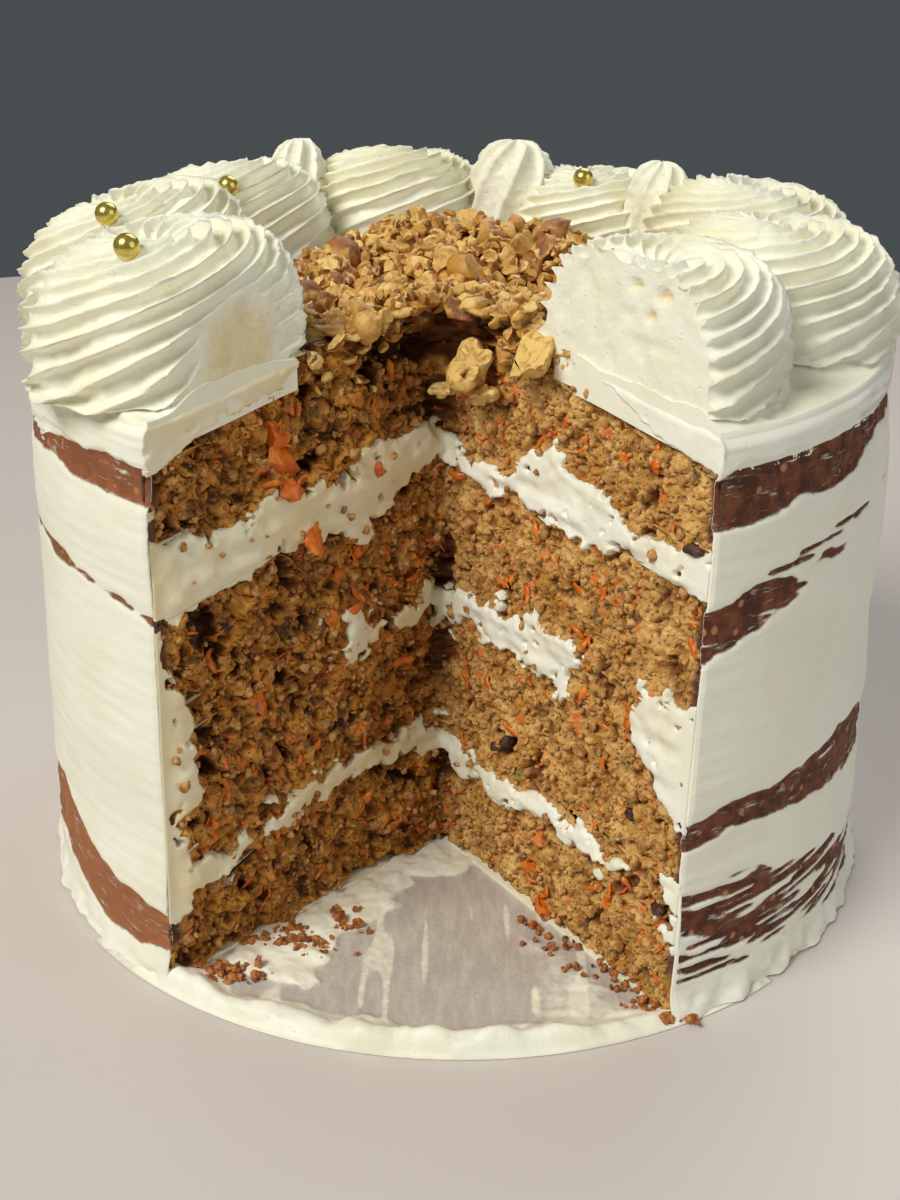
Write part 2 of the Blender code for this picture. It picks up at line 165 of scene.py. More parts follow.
BOARD_CRUMBS = ((-41, -63.5, 6), (-37, -59.5, 8), (-34, -63, 9), (-30, -66, 8), (-25, -58, 6), (-26, -53, 4),
                (-54, -75, 6),
                (-49, -74, 9), (-44.5, -76.5, 7), (25, -62, 5), (32, -73, 5), (36, -79, 7), (40, -84, 8), (43, -88, 8),
                (18, -56, 4), (19, -64, 4))
NUTS_ON_CUT = ((-36, 126, 3.6), (-33, 122, 3.0), (-30, 128.5, 4.6), (-27, 124.5, 3.6), (-25, 129.5, 4.6),
               (-22, 126.5, 4.0),
               (-19, 130, 4.2), (-17, 125.5, 2.6), (-35, 119.5, 2.2), (-14, 130, 3.6), (-29, 118.5, 2.0),
               (-24, 120, 2.6),
               (-20, 117.5, 1.8), (20, 129.5, 3.0), (25, 130.5, 3.4), (16, 131, 3.0))

LOOSE_FLAKE = (((13.6, -44.6, 126.2), 8.2, 0.9, 0.1, (-0.75, -0.6, 0.25)),)
LOOSE_NUTS = (
    ((2.4, -32.2, 122.3), 7.4, 0.8, 0.5), ((4.4, -34.6, 116.4), 4.2, 0.9, 0.3), ((-3.6, -27.0, 115.4), 3.2, 1.0, 0.1))
CLINGING_CRUMBS, CARROT_SHREDS = 2600, 210  # places tried for them; those on cream mostly stay empty
NUT_TRIES, NUTS, FINE_NUTS = 12000, 420, 380

# Widths of one step of the finest grids, and how close two of their corners are joined, in metres
CRUMB_PITCH = 0.38
COAT_PITCH = 0.85
LID_PITCH = 0.0009
WELD = 2e-6

# Studio: camera place in metres, its tilt and lens, and area lights as (name, place, side, watts, colour)
CAMERA_PLACE = (-0.0018, -0.3374, 0.1987)
CAMERA_PITCH = math.radians(23.0)
CAMERA_ROLL = 0.009
CAMERA_SENSOR, CAMERA_LENS = 36.0, 45.0
AIM = Vector((0.0, 0.0, 0.07))
LIGHTS = (
    ("key", (-0.75, -0.75, 1.15), 0.70, 20.5, (1.0, 0.985, 0.94)),
    ("fill", (1.0, -0.6, 0.55), 0.9, 4.0, (0.93, 0.96, 1.0)),
    ("back", (0.3, 0.9, 1.1), 0.9, 7.0, (1.0, 0.98, 0.96)),
)

LATTICE = np.random.default_rng(7).uniform(-1.0, 1.0, (64, 64, 64))
JITTER = np.random.default_rng(8).uniform(-0.5, 0.5, (64, 64, 64, 4))


def ease(low, high, value):
    t = np.clip((value - low) / (high - low), 0.0, 1.0)
    return t * t * (3.0 - 2.0 * t)


def mix(first, second, share):
    return first + (second - first) * share


def bumps(points, size, seed=0):
    """Smooth random values from -1 to 1 whose lumps are about this many millimetres across."""
    place = points / size + seed * 7.31
    low = np.floor(place).astype(int)
    share = place - low
    share = share * share * (3.0 - 2.0 * share)
    low, high = low & 63, (low + 1) & 63
    total = 0.0
    for corner in np.ndindex(2, 2, 2):
        index = [np.where(side, high[:, axis], low[:, axis]) for axis, side in enumerate(corner)]
        weight = 1.0
        for axis, side in enumerate(corner):
            weight = weight * (share[:, axis] if side else 1.0 - share[:, axis])
        total = total + weight * LATTICE[tuple(index)]
    return total * 1.5


def cells(points, size, seed=0):
    """Distance to the nearest of many scattered seeds, its own number, and how far behind the next seed is."""
    place = points / size + seed * 5.17
    low = np.floor(place).astype(int)
    best, own, second = np.full(len(points), 9.0), np.zeros(len(points)), np.full(len(points), 9.0)
    for corner in np.ndindex(3, 3, 3):
        cell = low + np.array(corner) - 1
        jitter = JITTER[tuple((cell & 63).T)]
        gap = np.linalg.norm(place - cell - 0.5 - jitter[:, :3] * 0.9, axis=1)
        closer = gap < best
        second = np.where(closer, best, np.minimum(second, gap))
        best, own = np.where(closer, gap, best), np.where(closer, jitter[:, 3] + 0.5, own)
    return best, own, second - best


def grains(points, size, seed):
    """Broken crumb: each grain domed at its own height, with a crack round it."""
    best, own, gap = cells(points, size, seed)
    return (0.5 - best) * 0.9 + (own - 0.5) * 1.0 - 0.55 * ease(0.20, 0.0, gap)


def layered(points, *layers):
    """Several bumps laid over each other, each as (size, seed, height)."""
    return sum(bumps(points, size, seed) * height for size, seed, height in layers)


def with_sizes(points, sizes):
    """The same points stretched, so that a pattern's lumps get a different length each way."""
    return points / np.asarray(sizes)


# ---------------------------------------------------------------- plan of the cake


def direction(angle):
    angle = np.asarray(angle, float)
    return np.stack([-np.sin(angle), -np.cos(angle)], axis=-1)


def facing_out(heading, side):
    """Way out of the cake across the cut face of this heading: side is -1 on the left, 1 on the right."""
    return direction(heading + side * math.pi / 2)


def azimuth_of(flat):
    return np.arctan2(-flat[..., 0], -flat[..., 1]) % (2.0 * math.pi)


def reach(heading, radius):
    """Distance from the inner end of the cut to this radius, along a heading."""
    along = direction(heading) @ CUT_END
    return -along + np.sqrt(along * along - CUT_END @ CUT_END + np.square(radius))


def right_heading(z):
    share = np.clip(z / RIM_HEIGHT, 0.0, 1.0)
    return RIGHT_HEADING_FOOT + (RIGHT_HEADING_RIM - RIGHT_HEADING_FOOT) * share


def body_radius(z):
    taper = BODY_RADIUS + (RIM_RADIUS - BODY_RADIUS) * z / RIM_HEIGHT
    flare = np.maximum(0.0, 1.0 - z / FOOT_FLARE_HEIGHT)
    return taper + (FOOT_RADIUS - BODY_RADIUS) * flare * flare


def crumb_radius(z):
    return body_radius(np.maximum(z, FOOT_FLARE_HEIGHT)) - COAT_THICKNESS


def level(name, flat):
    """Height of the surface on top of the named layer."""
    inner, rim = LEVELS[name]
    front = 0.5 * (rim[0] + rim[-1])
    heights = np.array((front, *rim, front))
    azimuth = azimuth_of(flat)
    index = np.clip(np.searchsorted(STATION_AZIMUTHS, azimuth) - 1, 0, len(heights) - 2)
    share = ease(STATION_AZIMUTHS[index], STATION_AZIMUTHS[index + 1], azimuth)
    outer = mix(heights[index], heights[index + 1], share)
    part = np.linalg.norm(flat, axis=-1) / RIM_RADIUS
    blend = ease(0.5, 1.0, part) if name in ("sponge_4", "top_cream") else np.minimum(part, 1.0) ** 2
    return mix(inner, outer, blend)


def on_cut(along, z):
    """Plan point on the cut for a distance along it, and the way out of the cake there."""
    left, right = direction(LEFT_HEADING), direction(right_heading(z))
    share = np.clip(along / CUT_END_BLEND * 0.5 + 0.5, 0.0, 1.0)[:, None]
    tip = CUT_END + (0.0, 1.0)
    start, end = CUT_END + left * CUT_END_BLEND, CUT_END + right * CUT_END_BLEND
    curve = start * (1 - share) ** 2 + tip * 2 * share * (1 - share) + end * share**2
    leg = np.where((along < 0)[:, None], CUT_END - left * along[:, None], CUT_END + right * along[:, None])
    flat = np.where((np.abs(along) < CUT_END_BLEND)[:, None], curve, leg)
    out = mix(facing_out(LEFT_HEADING, -1), facing_out(right_heading(z), 1), ease(-6.0, 6.0, along)[:, None])
    return flat, out / np.linalg.norm(out, axis=1, keepdims=True)


# ---------------------------------------------------------------- building meshes


def coordinates(mesh):
    values = np.empty(len(mesh.vertices) * 3)
    mesh.vertices.foreach_get("co", values)
    return values.reshape(-1, 3)


def paint(mesh, masks):
    """Stores masks that change over the surface as attributes of the vertices."""
    for name, values in masks.items():
        layer = mesh.attributes.get(name) or mesh.attributes.new(name, "FLOAT", "POINT")
        layer.data.foreach_set("value", np.asarray(values, np.float32))


def shaped_grid(columns, rows, place):
    """Grid laid out by place(u, v), which gives its points in millimetres and its masks."""
    bm = bmesh.new()
    bmesh.ops.create_grid(bm, x_segments=columns, y_segments=rows, size=0.5)
    mesh = bpy.data.meshes.new("grid")
    bm.to_mesh(mesh)
    flat = coordinates(mesh) + 0.5
    points, masks = place(flat[:, 0], flat[:, 1])
    mesh.vertices.foreach_set("co", (points / 1000.0).ravel())
    paint(mesh, masks)
    bm.clear()
    bm.from_mesh(mesh)
    bpy.data.meshes.remove(mesh)
    return bm


def as_mesh(bm, name):
    mesh = bpy.data.meshes.new(name)
    bm.to_mesh(mesh)
    bm.free()
    return mesh


def placed(name, data):
    made = bpy.data.objects.new(name, data)
    bpy.context.scene.collection.objects.link(made)
    return made


def everything(bm):
    return bm.verts[:] + bm.edges[:] + bm.faces[:]


def close(bm, middle=None):
    """Merges the grid's meeting edges and puts a lid on each open end, gathered at a middle point if given."""
    bmesh.ops.remove_doubles(bm, verts=bm.verts, dist=WELD)
    rim = [edge for edge in bm.edges if edge.is_boundary]
    for edge in rim:
        edge.smooth = False
    lids = bmesh.ops.holes_fill(bm, edges=rim, sides=0)["faces"]
    if middle is not None:
        poked = bmesh.ops.poke(bm, faces=lids)
        lids = poked["faces"]
        for vert in poked["verts"]:
            vert.co.x, vert.co.y = middle[0] / 1000.0, middle[1] / 1000.0
    for lid in lids:
        lid.smooth = False
    return bm


def piece(name, bm, material, nodes=(), smooth=True):
    """Finished piece in place, riding on the cake."""
    bmesh.ops.recalc_face_normals(bm, faces=bm.faces)
    if smooth:
        for face in bm.faces:
            face.smooth = len(face.verts) < 12
    made = placed(name, as_mesh(bm, name))
    made.data.materials.append(material)
    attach(made, "root")
    if nodes:
        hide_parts(*nodes)


# ---------------------------------------------------------------- materials


def srgb(red, green, blue):
    def linear(value):
        value /= 255.0
        return value / 12.92 if value <= 0.04045 else ((value + 0.055) / 1.055) ** 2.4

    return (linear(red), linear(green), linear(blue), 1.0)


class Nodes:
    """Short ways to add and join the nodes of a material or a node group."""

    def __init__(self, tree, material=None, shader=None, given=None, result=None):
        self.tree, self.material, self.shader = tree, material, shader
        self.given, self.result = given, result

    def add(self, kind, inputs=None, **settings):
        node = self.tree.nodes.new(kind)
        for key, value in settings.items():
            setattr(node, key, value)
        for key, value in (inputs or {}).items():
            socket = node.inputs[key]
            if isinstance(value, bpy.types.NodeSocket):
                self.tree.links.new(value, socket)
            else:
                socket.default_value = value
        return node

    def place(self):
        return self.add("ShaderNodeTexCoord").outputs["Object"]

    def math(self, operation, first, second=0.5, third=0.5):
        return self.add("ShaderNodeMath", {0: first, 1: second, 2: third}, operation=operation).outputs[0]

    def times(self, first, second):
        return self.math("MULTIPLY", first, second)

    def ramp(self, value, low, high):
        return self.add("ShaderNodeMapRange", {0: value, 1: low, 2: high}, interpolation_type="SMOOTHSTEP").outputs[0]

    def blend(self, share, first, second):
        return self.add("ShaderNodeMix", {0: share, 6: first, 7: second}, data_type="RGBA").outputs[2]

    def vector(self, operation, first, second):
        return self.add("ShaderNodeVectorMath", {0: first, 1: second}, operation=operation).outputs[0]

    def stretched(self, place, sizes):
        return self.add("ShaderNodeMapping", {"Vector": place, "Scale": sizes}).outputs[0]

    def noise(self, place, scale, detail=3.0, roughness=0.55):
        inputs = {"Vector": place, "Scale": scale, "Detail": detail, "Roughness": roughness}
        return self.add("ShaderNodeTexNoise", inputs).outputs["Fac"]

    def torn(self, edge, amount, noise):
        """An edge mask, made ragged by this amount of a noise."""
        return self.math("ADD", edge, self.times(self.math("SUBTRACT", noise, 0.5), amount))

    def cells(self, place, scale):
        node = self.add("ShaderNodeTexVoronoi", {"Vector": place, "Scale": scale})
        chance = self.add("ShaderNodeSeparateColor", {0: node.outputs["Color"]}).outputs[0]
        return node.outputs["Distance"], chance

    def mask(self, name):
        return self.add("ShaderNodeAttribute", attribute_name=name).outputs["Fac"]

    def group(self, tree, **inputs):
        return self.add("ShaderNodeGroup", inputs, node_tree=tree).outputs

    def outputs(self, **values):
        """Joins up what the group gives."""
        for label, value in values.items():
            self.tree.links.new(value, self.result[label])
        return self.tree

    def surface(self, colour, height, depth, roughness=None):
        """Joins up the surface: its colour, fine relief of this depth, and roughness where it varies."""
        bump = None
        if height is not None:
            bump = self.add("ShaderNodeBump", {"Height": height, "Distance": depth, "Strength": 1.0}).outputs[0]
        for value, socket in ((colour, "Base Color"), (bump, "Normal"), (roughness, "Roughness")):
            if value is not None:
                self.tree.links.new(value, self.shader.inputs[socket])
        return self.material


def new_group(name, inputs, outputs):
    tree = bpy.data.node_groups.new(name, "ShaderNodeTree")
    for label, value in inputs.items():
        kind = "NodeSocketColor" if isinstance(value, tuple) else "NodeSocketFloat"
        tree.interface.new_socket(label, in_out="INPUT", socket_type=kind).default_value = value
    for label in outputs:
        kind = "NodeSocketColor" if label == "Color" else "NodeSocketFloat"
        tree.interface.new_socket(label, in_out="OUTPUT", socket_type=kind)
    given, result = tree.nodes.new("NodeGroupInput").outputs, tree.nodes.new("NodeGroupOutput").inputs
    return Nodes(tree, given=given, result=result)


def new_material(name, roughness=0.6):
    made = bpy.data.materials.new(name)
    made.use_nodes = True
    shader = made.node_tree.nodes["Principled BSDF"]
    shader.inputs["Roughness"].default_value = roughness
    return Nodes(made.node_tree, made, shader)


def whipped_cream_group():
    """Airy cream: faintly mottled, with fine bubbles and a slightly open grain."""
    colours = {"Cream": srgb(244, 242, 222), "Shade": srgb(238, 234, 206), "Grain": 1.0}
    nodes = new_group("whipped cream", colours, ("Color", "Height", "Roughness"))
    place = nodes.place()
    wide, fine = nodes.noise(place, 55.0, 2.0), nodes.noise(place, 620.0, 3.0, 0.6)
    bubbles, chance = nodes.cells(place, 900.0)
    pinholes = nodes.times(nodes.ramp(bubbles, 0.34, 0.10), nodes.ramp(chance, 0.78, 0.86))
    height = nodes.math("SUBTRACT", nodes.times(fine, 0.6), nodes.times(pinholes, 0.25))
    return nodes.outputs(
        Color=nodes.blend(nodes.ramp(wide, 0.35, 0.75), nodes.given["Cream"], nodes.given["Shade"]),
        Height=nodes.times(height, nodes.given["Grain"]),
        Roughness=nodes.math("MULTIPLY_ADD", fine, 0.16, 0.42),
    )


def crumb_group():
    """Moist carrot sponge: brown crumb with flecks of carrot, nut and spice; its pores and pits are darkened as painted
    shade.
    """
    colours = {"Light": srgb(226, 176, 104), "Dark": srgb(168, 112, 44), "Deep": srgb(78, 36, 6), "Pit": 0.0}
    nodes = new_group("sponge crumb", colours, ("Color", "Height"))
    place = nodes.place()
    patch, grain = nodes.noise(place, 130.0, 3.0, 0.6), nodes.noise(place, 900.0, 3.0, 0.65)
    share = nodes.math("ADD", nodes.times(patch, 0.7), nodes.times(grain, 0.5))
    colour = nodes.blend(nodes.ramp(share, 0.42, 0.80), nodes.given["Dark"], nodes.given["Light"])
    # Painted shade: the pores darken the colour towards Deep, besides sinking into the bump.
    pore = nodes.ramp(nodes.cells(place, 760.0)[0], 0.30, 0.05)
    warp = nodes.add("ShaderNodeTexNoise", {"Vector": place, "Scale": 420.0, "Detail": 2.0}).outputs["Color"]
    moved = nodes.vector("ADD", place, nodes.vector("MULTIPLY", warp, (0.0035, 0.0035, 0.0035)))
    bits, chance = nodes.cells(moved, 300.0)
    near = nodes.ramp(bits, 0.52, 0.36)
    blush = nodes.times(nodes.ramp(nodes.noise(place, 210.0, 2.0), 0.60, 0.72), 0.45)
    colour = nodes.blend(blush, colour, srgb(206, 118, 44))
    for chosen, strength, tint in (
        (nodes.ramp(chance, 0.885, 0.90), 0.8, srgb(222, 112, 36)),
        (nodes.ramp(chance, 0.060, 0.045), 0.7, srgb(74, 40, 20)),
        (nodes.math("COMPARE", chance, 0.80, 0.006), 0.7, srgb(126, 122, 56)),
    ):
        colour = nodes.blend(nodes.times(nodes.times(near, chosen), strength), colour, tint)
    # Painted shade: the Pit mask darkens the crumb's recesses to the Deep colour too.
    dark = nodes.math("MAXIMUM", nodes.times(pore, 0.55), nodes.given["Pit"])
    height = nodes.math("SUBTRACT", nodes.math("ADD", grain, patch), pore)
    return nodes.outputs(Color=nodes.blend(dark, colour, nodes.given["Deep"]), Height=height)


def cream_material(name, group, cream, shade, grain):
    nodes = new_material(name)
    cream = nodes.group(group, Cream=cream, Shade=shade, Grain=grain)
    # Painted shade: the mask shade blends the cream to a warm tan on a shaded cut face and in its hollows.
    painted_shade = nodes.blend(nodes.mask("shade"), cream["Color"], srgb(230, 210, 159))
    return nodes.surface(painted_shade, cream["Height"], 0.0004, cream["Roughness"])


def cut_material(cream_group, sponge_group):
    """Crumb with the cream that the knife dragged over it; the left face, turned from the light, gets warmer and darker
    colours as painted shade.
    """
    nodes = new_material("cut_crumb_and_cream")
    # Painted shade: each crumb and cream colour has a copy for the lit right face and a warmer, darker copy for the
    # shaded left face, picked by the mask left.
    left = nodes.mask("left")
    light, dark, deep, white = (
        nodes.blend(left, bright, shaded)
        for bright, shaded in (
            (srgb(230, 186, 110), srgb(228, 162, 62)),
            (srgb(178, 120, 36), srgb(172, 102, 16)),
            (srgb(112, 58, 4), srgb(64, 26, 0)),
            (srgb(244, 243, 228), srgb(233, 217, 172)),
        )
    )
    crumb = nodes.group(sponge_group, Light=light, Dark=dark, Deep=deep, Pit=nodes.mask("pit"))
    cream = nodes.group(cream_group, Cream=white)
    share = nodes.ramp(nodes.torn(nodes.mask("cream"), 0.9, nodes.noise(nodes.place(), 700.0)), 0.40, 0.60)
    crusted = nodes.blend(nodes.mask("crust"), crumb["Color"], srgb(96, 58, 40))
    soft = nodes.times(cream["Height"], 0.35)
    lift = nodes.add("ShaderNodeMix", {0: share, 2: crumb["Height"], 3: soft}, data_type="FLOAT").outputs[0]
    rough = nodes.math("SUBTRACT", 0.62, nodes.times(share, 0.12))
    return nodes.surface(nodes.blend(share, crusted, cream["Color"]), lift, 0.0005, rough)


def coat_material(group):
    """Scraped coat: cream that thins out over brown crust."""
    nodes = new_material("scraped_coat")
    nodes.shader.inputs["Specular IOR Level"].default_value = 0.35
    cream = nodes.group(group, Cream=srgb(243, 241, 222), Shade=srgb(238, 235, 212), Grain=0.35)
    place = nodes.place()
    mottle = nodes.noise(place, 260.0, 4.0, 0.65)
    specks, chance = nodes.cells(place, 420.0)
    crust = nodes.blend(nodes.ramp(mottle, 0.35, 0.68), srgb(72, 32, 12), srgb(124, 68, 34))
    # Painted light: the mask pale lightens the crust on the lit left side of the cake.
    crust = nodes.blend(nodes.times(nodes.mask("pale"), 0.62), crust, srgb(182, 116, 72))
    pale = nodes.times(nodes.ramp(specks, 0.42, 0.25), nodes.ramp(chance, 0.80, 0.84))
    crust = nodes.blend(pale, crust, srgb(176, 120, 78))
    veil = nodes.ramp(nodes.noise(nodes.stretched(place, (1.0, 1.0, 5.0)), 150.0, 5.0, 0.7), 0.56, 0.72)
    bare = nodes.ramp(nodes.torn(nodes.mask("crust"), 0.5, nodes.noise(place, 520.0, 4.0, 0.7)), 0.26, 0.62)
    bare = nodes.math("SUBTRACT", bare, nodes.times(nodes.times(veil, bare), 0.7))
    height = nodes.math("ADD", cream["Height"], nodes.times(mottle, bare))
    rough = nodes.math("MULTIPLY_ADD", bare, 0.22, 0.45)
    return nodes.surface(nodes.blend(bare, cream["Color"], crust), height, 0.0005, rough)


def smear_material(group):
    """Cream that thins out to a greasy film over the pale board."""
    nodes = new_material("smeared_film")
    cream, place = nodes.group(group), nodes.place()
    scratch = nodes.noise(nodes.stretched(place, (1.0, 0.25, 1.0)), 420.0, 4.0, 0.7)
    film = nodes.blend(nodes.ramp(scratch, 0.35, 0.70), srgb(186, 178, 166), srgb(206, 197, 184))
    share = nodes.ramp(nodes.torn(nodes.mask("cover"), 0.6, nodes.noise(place, 500.0, 4.0, 0.7)), 0.15, 0.65)
    rough = nodes.math("MULTIPLY_ADD", share, 0.2, 0.30)
    return nodes.surface(nodes.blend(share, film, cream["Color"]), cream["Height"], 0.0003, rough)


def walnut_material():
    """Chopped walnut: pale broken flesh, brown papery skin."""
    nodes = new_material("chopped_walnut", 0.5)
    grain = nodes.noise(nodes.place(), 480.0, 4.0, 0.6)
    flesh = nodes.blend(nodes.mask("tone"), srgb(196, 142, 58), srgb(242, 206, 124))
    flesh = nodes.blend(nodes.ramp(grain, 0.45, 0.75), flesh, srgb(176, 116, 48))
    skin = nodes.blend(nodes.ramp(grain, 0.35, 0.65), srgb(110, 62, 26), srgb(172, 106, 48))
    edge = nodes.ramp(nodes.torn(nodes.mask("skin"), 0.9, grain), 0.35, 0.65)
    return nodes.surface(nodes.blend(edge, flesh, skin), grain, 0.0006)


def bit_material(name, first, second, roughness, noise=(600.0, 4.0, 0.65), high=0.68, depth=0.0005):
    """Small bits: carrot, raisin, toasted crumb."""
    nodes = new_material(name, roughness)
    grain = nodes.noise(nodes.place(), *noise)
    return nodes.surface(nodes.blend(nodes.ramp(grain, 0.35, high), first, second), grain, depth)


def pearl_material():
    nodes = new_material("gold_pearl", 0.22)
    nodes.shader.inputs["Metallic"].default_value = 0.75
    nodes.shader.inputs["Coat Weight"].default_value = 0.4
    grain = nodes.noise(nodes.place(), 1500.0, 3.0)
    colour = nodes.blend(grain, srgb(186, 164, 62), srgb(222, 204, 110))
    return nodes.surface(colour, None, 0.0, nodes.math("MULTIPLY_ADD", grain, 0.2, 0.16))


# ---------------------------------------------------------------- cut faces


def depth_inside(along, z, outline):
    """How far inside an outline a point is; below zero outside it."""
    corners = np.array(outline, float)
    nearest, inside = np.full(len(along), 1e9), np.zeros(len(along), bool)
    for first, second in zip(corners, np.roll(corners, -1, axis=0)):
        side = second - first
        from_x, from_z = along - first[0], z - first[1]
        share = np.clip((from_x * side[0] + from_z * side[1]) / (side @ side), 0.0, 1.0)
        nearest = np.minimum(nearest, np.hypot(from_x - side[0] * share, from_z - side[1] * share))
        rise = side[1] if abs(side[1]) > 1e-9 else 1e-9
        crosses = (first[1] <= z) != (second[1] <= z)
        inside ^= crosses & (first[0] + from_z / rise * side[0] > along)
    return np.where(inside, nearest, -nearest)


def slab_depth(along, z):
    """Height over the lower edge of the slab of cream, along the cut."""
    edge = np.array(SLAB_EDGE, float)
    return z - np.interp(along, edge[:, 0], edge[:, 1])


def shift_3d(at):
    """Small wandering shift that keeps the grains of crumb from looking round."""
    return np.column_stack([bumps(at, 1.9, 24), bumps(at, 1.9, 25), bumps(at, 1.9, 26)]) * 0.7


def cut_cream(at):
    """Slight unevenness where the knife went through plain cream."""
    return 0.2 * bumps(at, 8.0, 9) + 0.12 * bumps(at, 2.4, 29) - 0.45 * ease(0.5, 1.0, bumps(at, 2.6, 30))


def cut_relief(along, z):
    """Place and masks of the torn cut: crumb, clumps and caves, with cream dragged over it."""
    flat, out = on_cut(along, z)
    at = np.column_stack([flat, z])
    left = ease(3.0, -6.0, along)
    coarse = mix(1.0, 1.9, left) * mix(1.0, 1.25, left * ease(92.0, 104.0, z))
    shift = np.column_stack([layered(at, (7.0, seed, 1.5), (2.4, seed + 2, 0.8)) for seed in (11, 12)])
    ragged = layered(at, (3.2, 15, 0.8), (1.3, 16, 0.6))
    depth = np.full(len(along), -99.0)
    for roughness, outline in SMEARS:
        found = depth_inside(along + shift[:, 0] * roughness, z + shift[:, 1] * roughness, outline)
        depth = np.maximum(depth, found + ragged * roughness)
    slab = slab_depth(along + shift[:, 0] * 0.4, z) + 0.35 * ragged
    loose = cells(at + shift_3d(at) * 1.3, 3.1, 17)
    speck = ease(0.46, 0.30, loose[0]) * (loose[1] < mix(0.30, 0.16, left)) * ease(3.8, 0.6, np.abs(depth - 0.8))
    fleck = ease(0.42, 0.30, loose[0]) * (loose[1] > 0.94) * ease(-9.0, -1.0, depth)
    smeared = np.clip(ease(-0.45, 0.45, depth) - speck + fleck, 0.0, 1.0)
    cream = np.maximum(smeared, ease(-0.3, 0.3, slab))

    wide = bumps(at, 17.0, 1) * mix(0.6, 1.3, left)
    moved = at + shift_3d(at)
    clump = grains(moved, 5.6, 2) * 0.95 * coarse
    grain = grains(moved, 2.5, 3) * mix(0.85, 1.15, left) + grains(at, 1.3, 4) * 0.45
    hollow = layered(at, (6.5, 5, 0.5), (2.7, 6, 0.5), (1.4, 7, 0.2))
    cave = ease(0.38, 1.0, hollow) * 2.2 * coarse
    crevice = ease(3.6, 0.5, np.abs(along + bumps(at, 6.0, 20) * 1.6)) * ease(0.0, 0.8, bumps(at, 9.0, 21) + 0.2) * 2.6
    roof = 130.0 - 0.16 * np.abs(along + 3.0) + bumps(at, 5.0, 27)
    under_heap = ease(19.0, 12.0, np.abs(along + 2.0)) * ease(119.5, 122.5, z + bumps(at, 6.0, 28) * 1.5)
    under_heap = under_heap * ease(roof, roof - 1.5, z) * 6.5
    crumb = wide + clump + grain - cave - crevice - under_heap - 0.9
    folds = bumps(with_sizes(at, (1.0, 1.0, 0.45)), 6.0, 7) * 0.5 + bumps(at, 2.0, 8) * 0.16
    smear = wide * 0.8 + folds + 0.45 + 0.25 * ease(0.0, 3.0, depth) - crevice * 0.8
    relief = mix(crumb, smear, smeared)
    free_top = level("top_cream", flat)
    curl = ease(1.6, 0.0, slab_height(flat) - z) ** 2 * 0.7 + 1.2 * ease(free_top - 1.2, free_top + 1.2, z)
    smooth = cut_cream(at) - curl
    relief = mix(relief, smooth, ease(-0.6, 0.2, slab))
    relief = np.minimum(relief, 0.5 + np.abs(along) * 0.06)
    full = reach(np.where(along < 0, LEFT_HEADING, right_heading(z)), body_radius(z))
    corner = ease(6.0, 1.5, full - np.abs(along))
    relief = mix(relief, np.clip(relief, -1.3, 0.25), corner)

    jag = (1.0 - cream) * mix(0.35, 0.75, left)
    sideways = layered(at, (2.1, 18, 1.0), (1.0, 22, 0.6)) * jag
    sideways = sideways * ease(CUT_END_BLEND, 12.0, np.abs(along)) * (1.0 - corner)
    along_way = np.where((along < 0)[:, None], direction(LEFT_HEADING), direction(right_heading(z)))
    points = np.column_stack([flat + out * relief[:, None] + along_way * sideways[:, None], z])
    points[:, 2] += layered(at, (2.3, 19, 1.0), (1.0, 23, 0.6)) * jag
    points[:, 2] = np.maximum(points[:, 2], 0.4)
    # Painted shade: pit is high where the crumb sinks low, in caves, the crevice and under the heap, and away from
    # cream.
    pit = ease(-0.15, -2.0, clump * 0.6 + grain - cave - crevice - under_heap) * (1.0 - cream)
    outer = np.linalg.norm(flat, axis=1) - body_radius(z) + 1.6
    crust = ease(-2.6, -0.6, outer + ragged * 0.5) * ease(6.0, 11.0, z)
    # The mask left picks the shaded colours of the left face in the material: painted shade.
    return points, {"cream": cream, "pit": pit * 0.95, "crust": crust, "left": left}


def outside_relief(azimuth, z, flat):
    """How far the scraped coat stands in or out, and where its crust shows."""
    at = np.column_stack([flat, z])
    turn = np.degrees((azimuth + math.pi) % (2.0 * math.pi) - math.pi)
    wander = layered(at, (14.0, 31, 1.1), (4.5, 32, 0.8))
    drag = bumps(with_sizes(at, (14.0, 14.0, 1.0)), 1.0, 33)
    fine_drag = bumps(with_sizes(at, (9.0, 9.0, 0.45)), 1.0, 34)
    bare = np.zeros(len(z))
    for band in CRUST_BANDS:
        stations = np.array(sorted(band), float)
        lower, upper, strength = (np.interp(turn, stations[:, 0], stations[:, k]) for k in (1, 2, 3))
        inside = np.minimum(z - lower, upper - z) + wander * mix(1.6, 0.7, strength)
        streak = drag * 0.55 + fine_drag * 0.45
        patchy = ease(-0.25, 0.30, streak + (strength - 0.55) * 1.9)
        within = (turn >= stations[0, 0] - 1) & (turn <= stations[-1, 0] + 1)
        bare = np.maximum(bare, ease(-0.8, 0.8, inside) * patchy * within)
    scrape = drag * 0.10 + fine_drag * 0.05 + bumps(with_sizes(at, (40.0, 40.0, 16.0)), 1.0, 35) * 0.55
    torn_foot = layered(at, (5.0, 36, 0.9), (2.0, 37, 0.4)) * ease(9.0, 1.0, z)
    return scrape + torn_foot + bumps(at, 1.9, 38) * 0.22 * bare - bare * 0.75, bare


def wall_point(heading, z):
    """Point on the outside of the cake for a heading at the inner end of the cut."""
    flat = CUT_END + direction(heading) * reach(heading, body_radius(z))[:, None]
    relief, bare = outside_relief(azimuth_of(flat), z, flat)
    out = flat / np.linalg.norm(flat, axis=1, keepdims=True)
    return flat + out * relief[:, None], bare


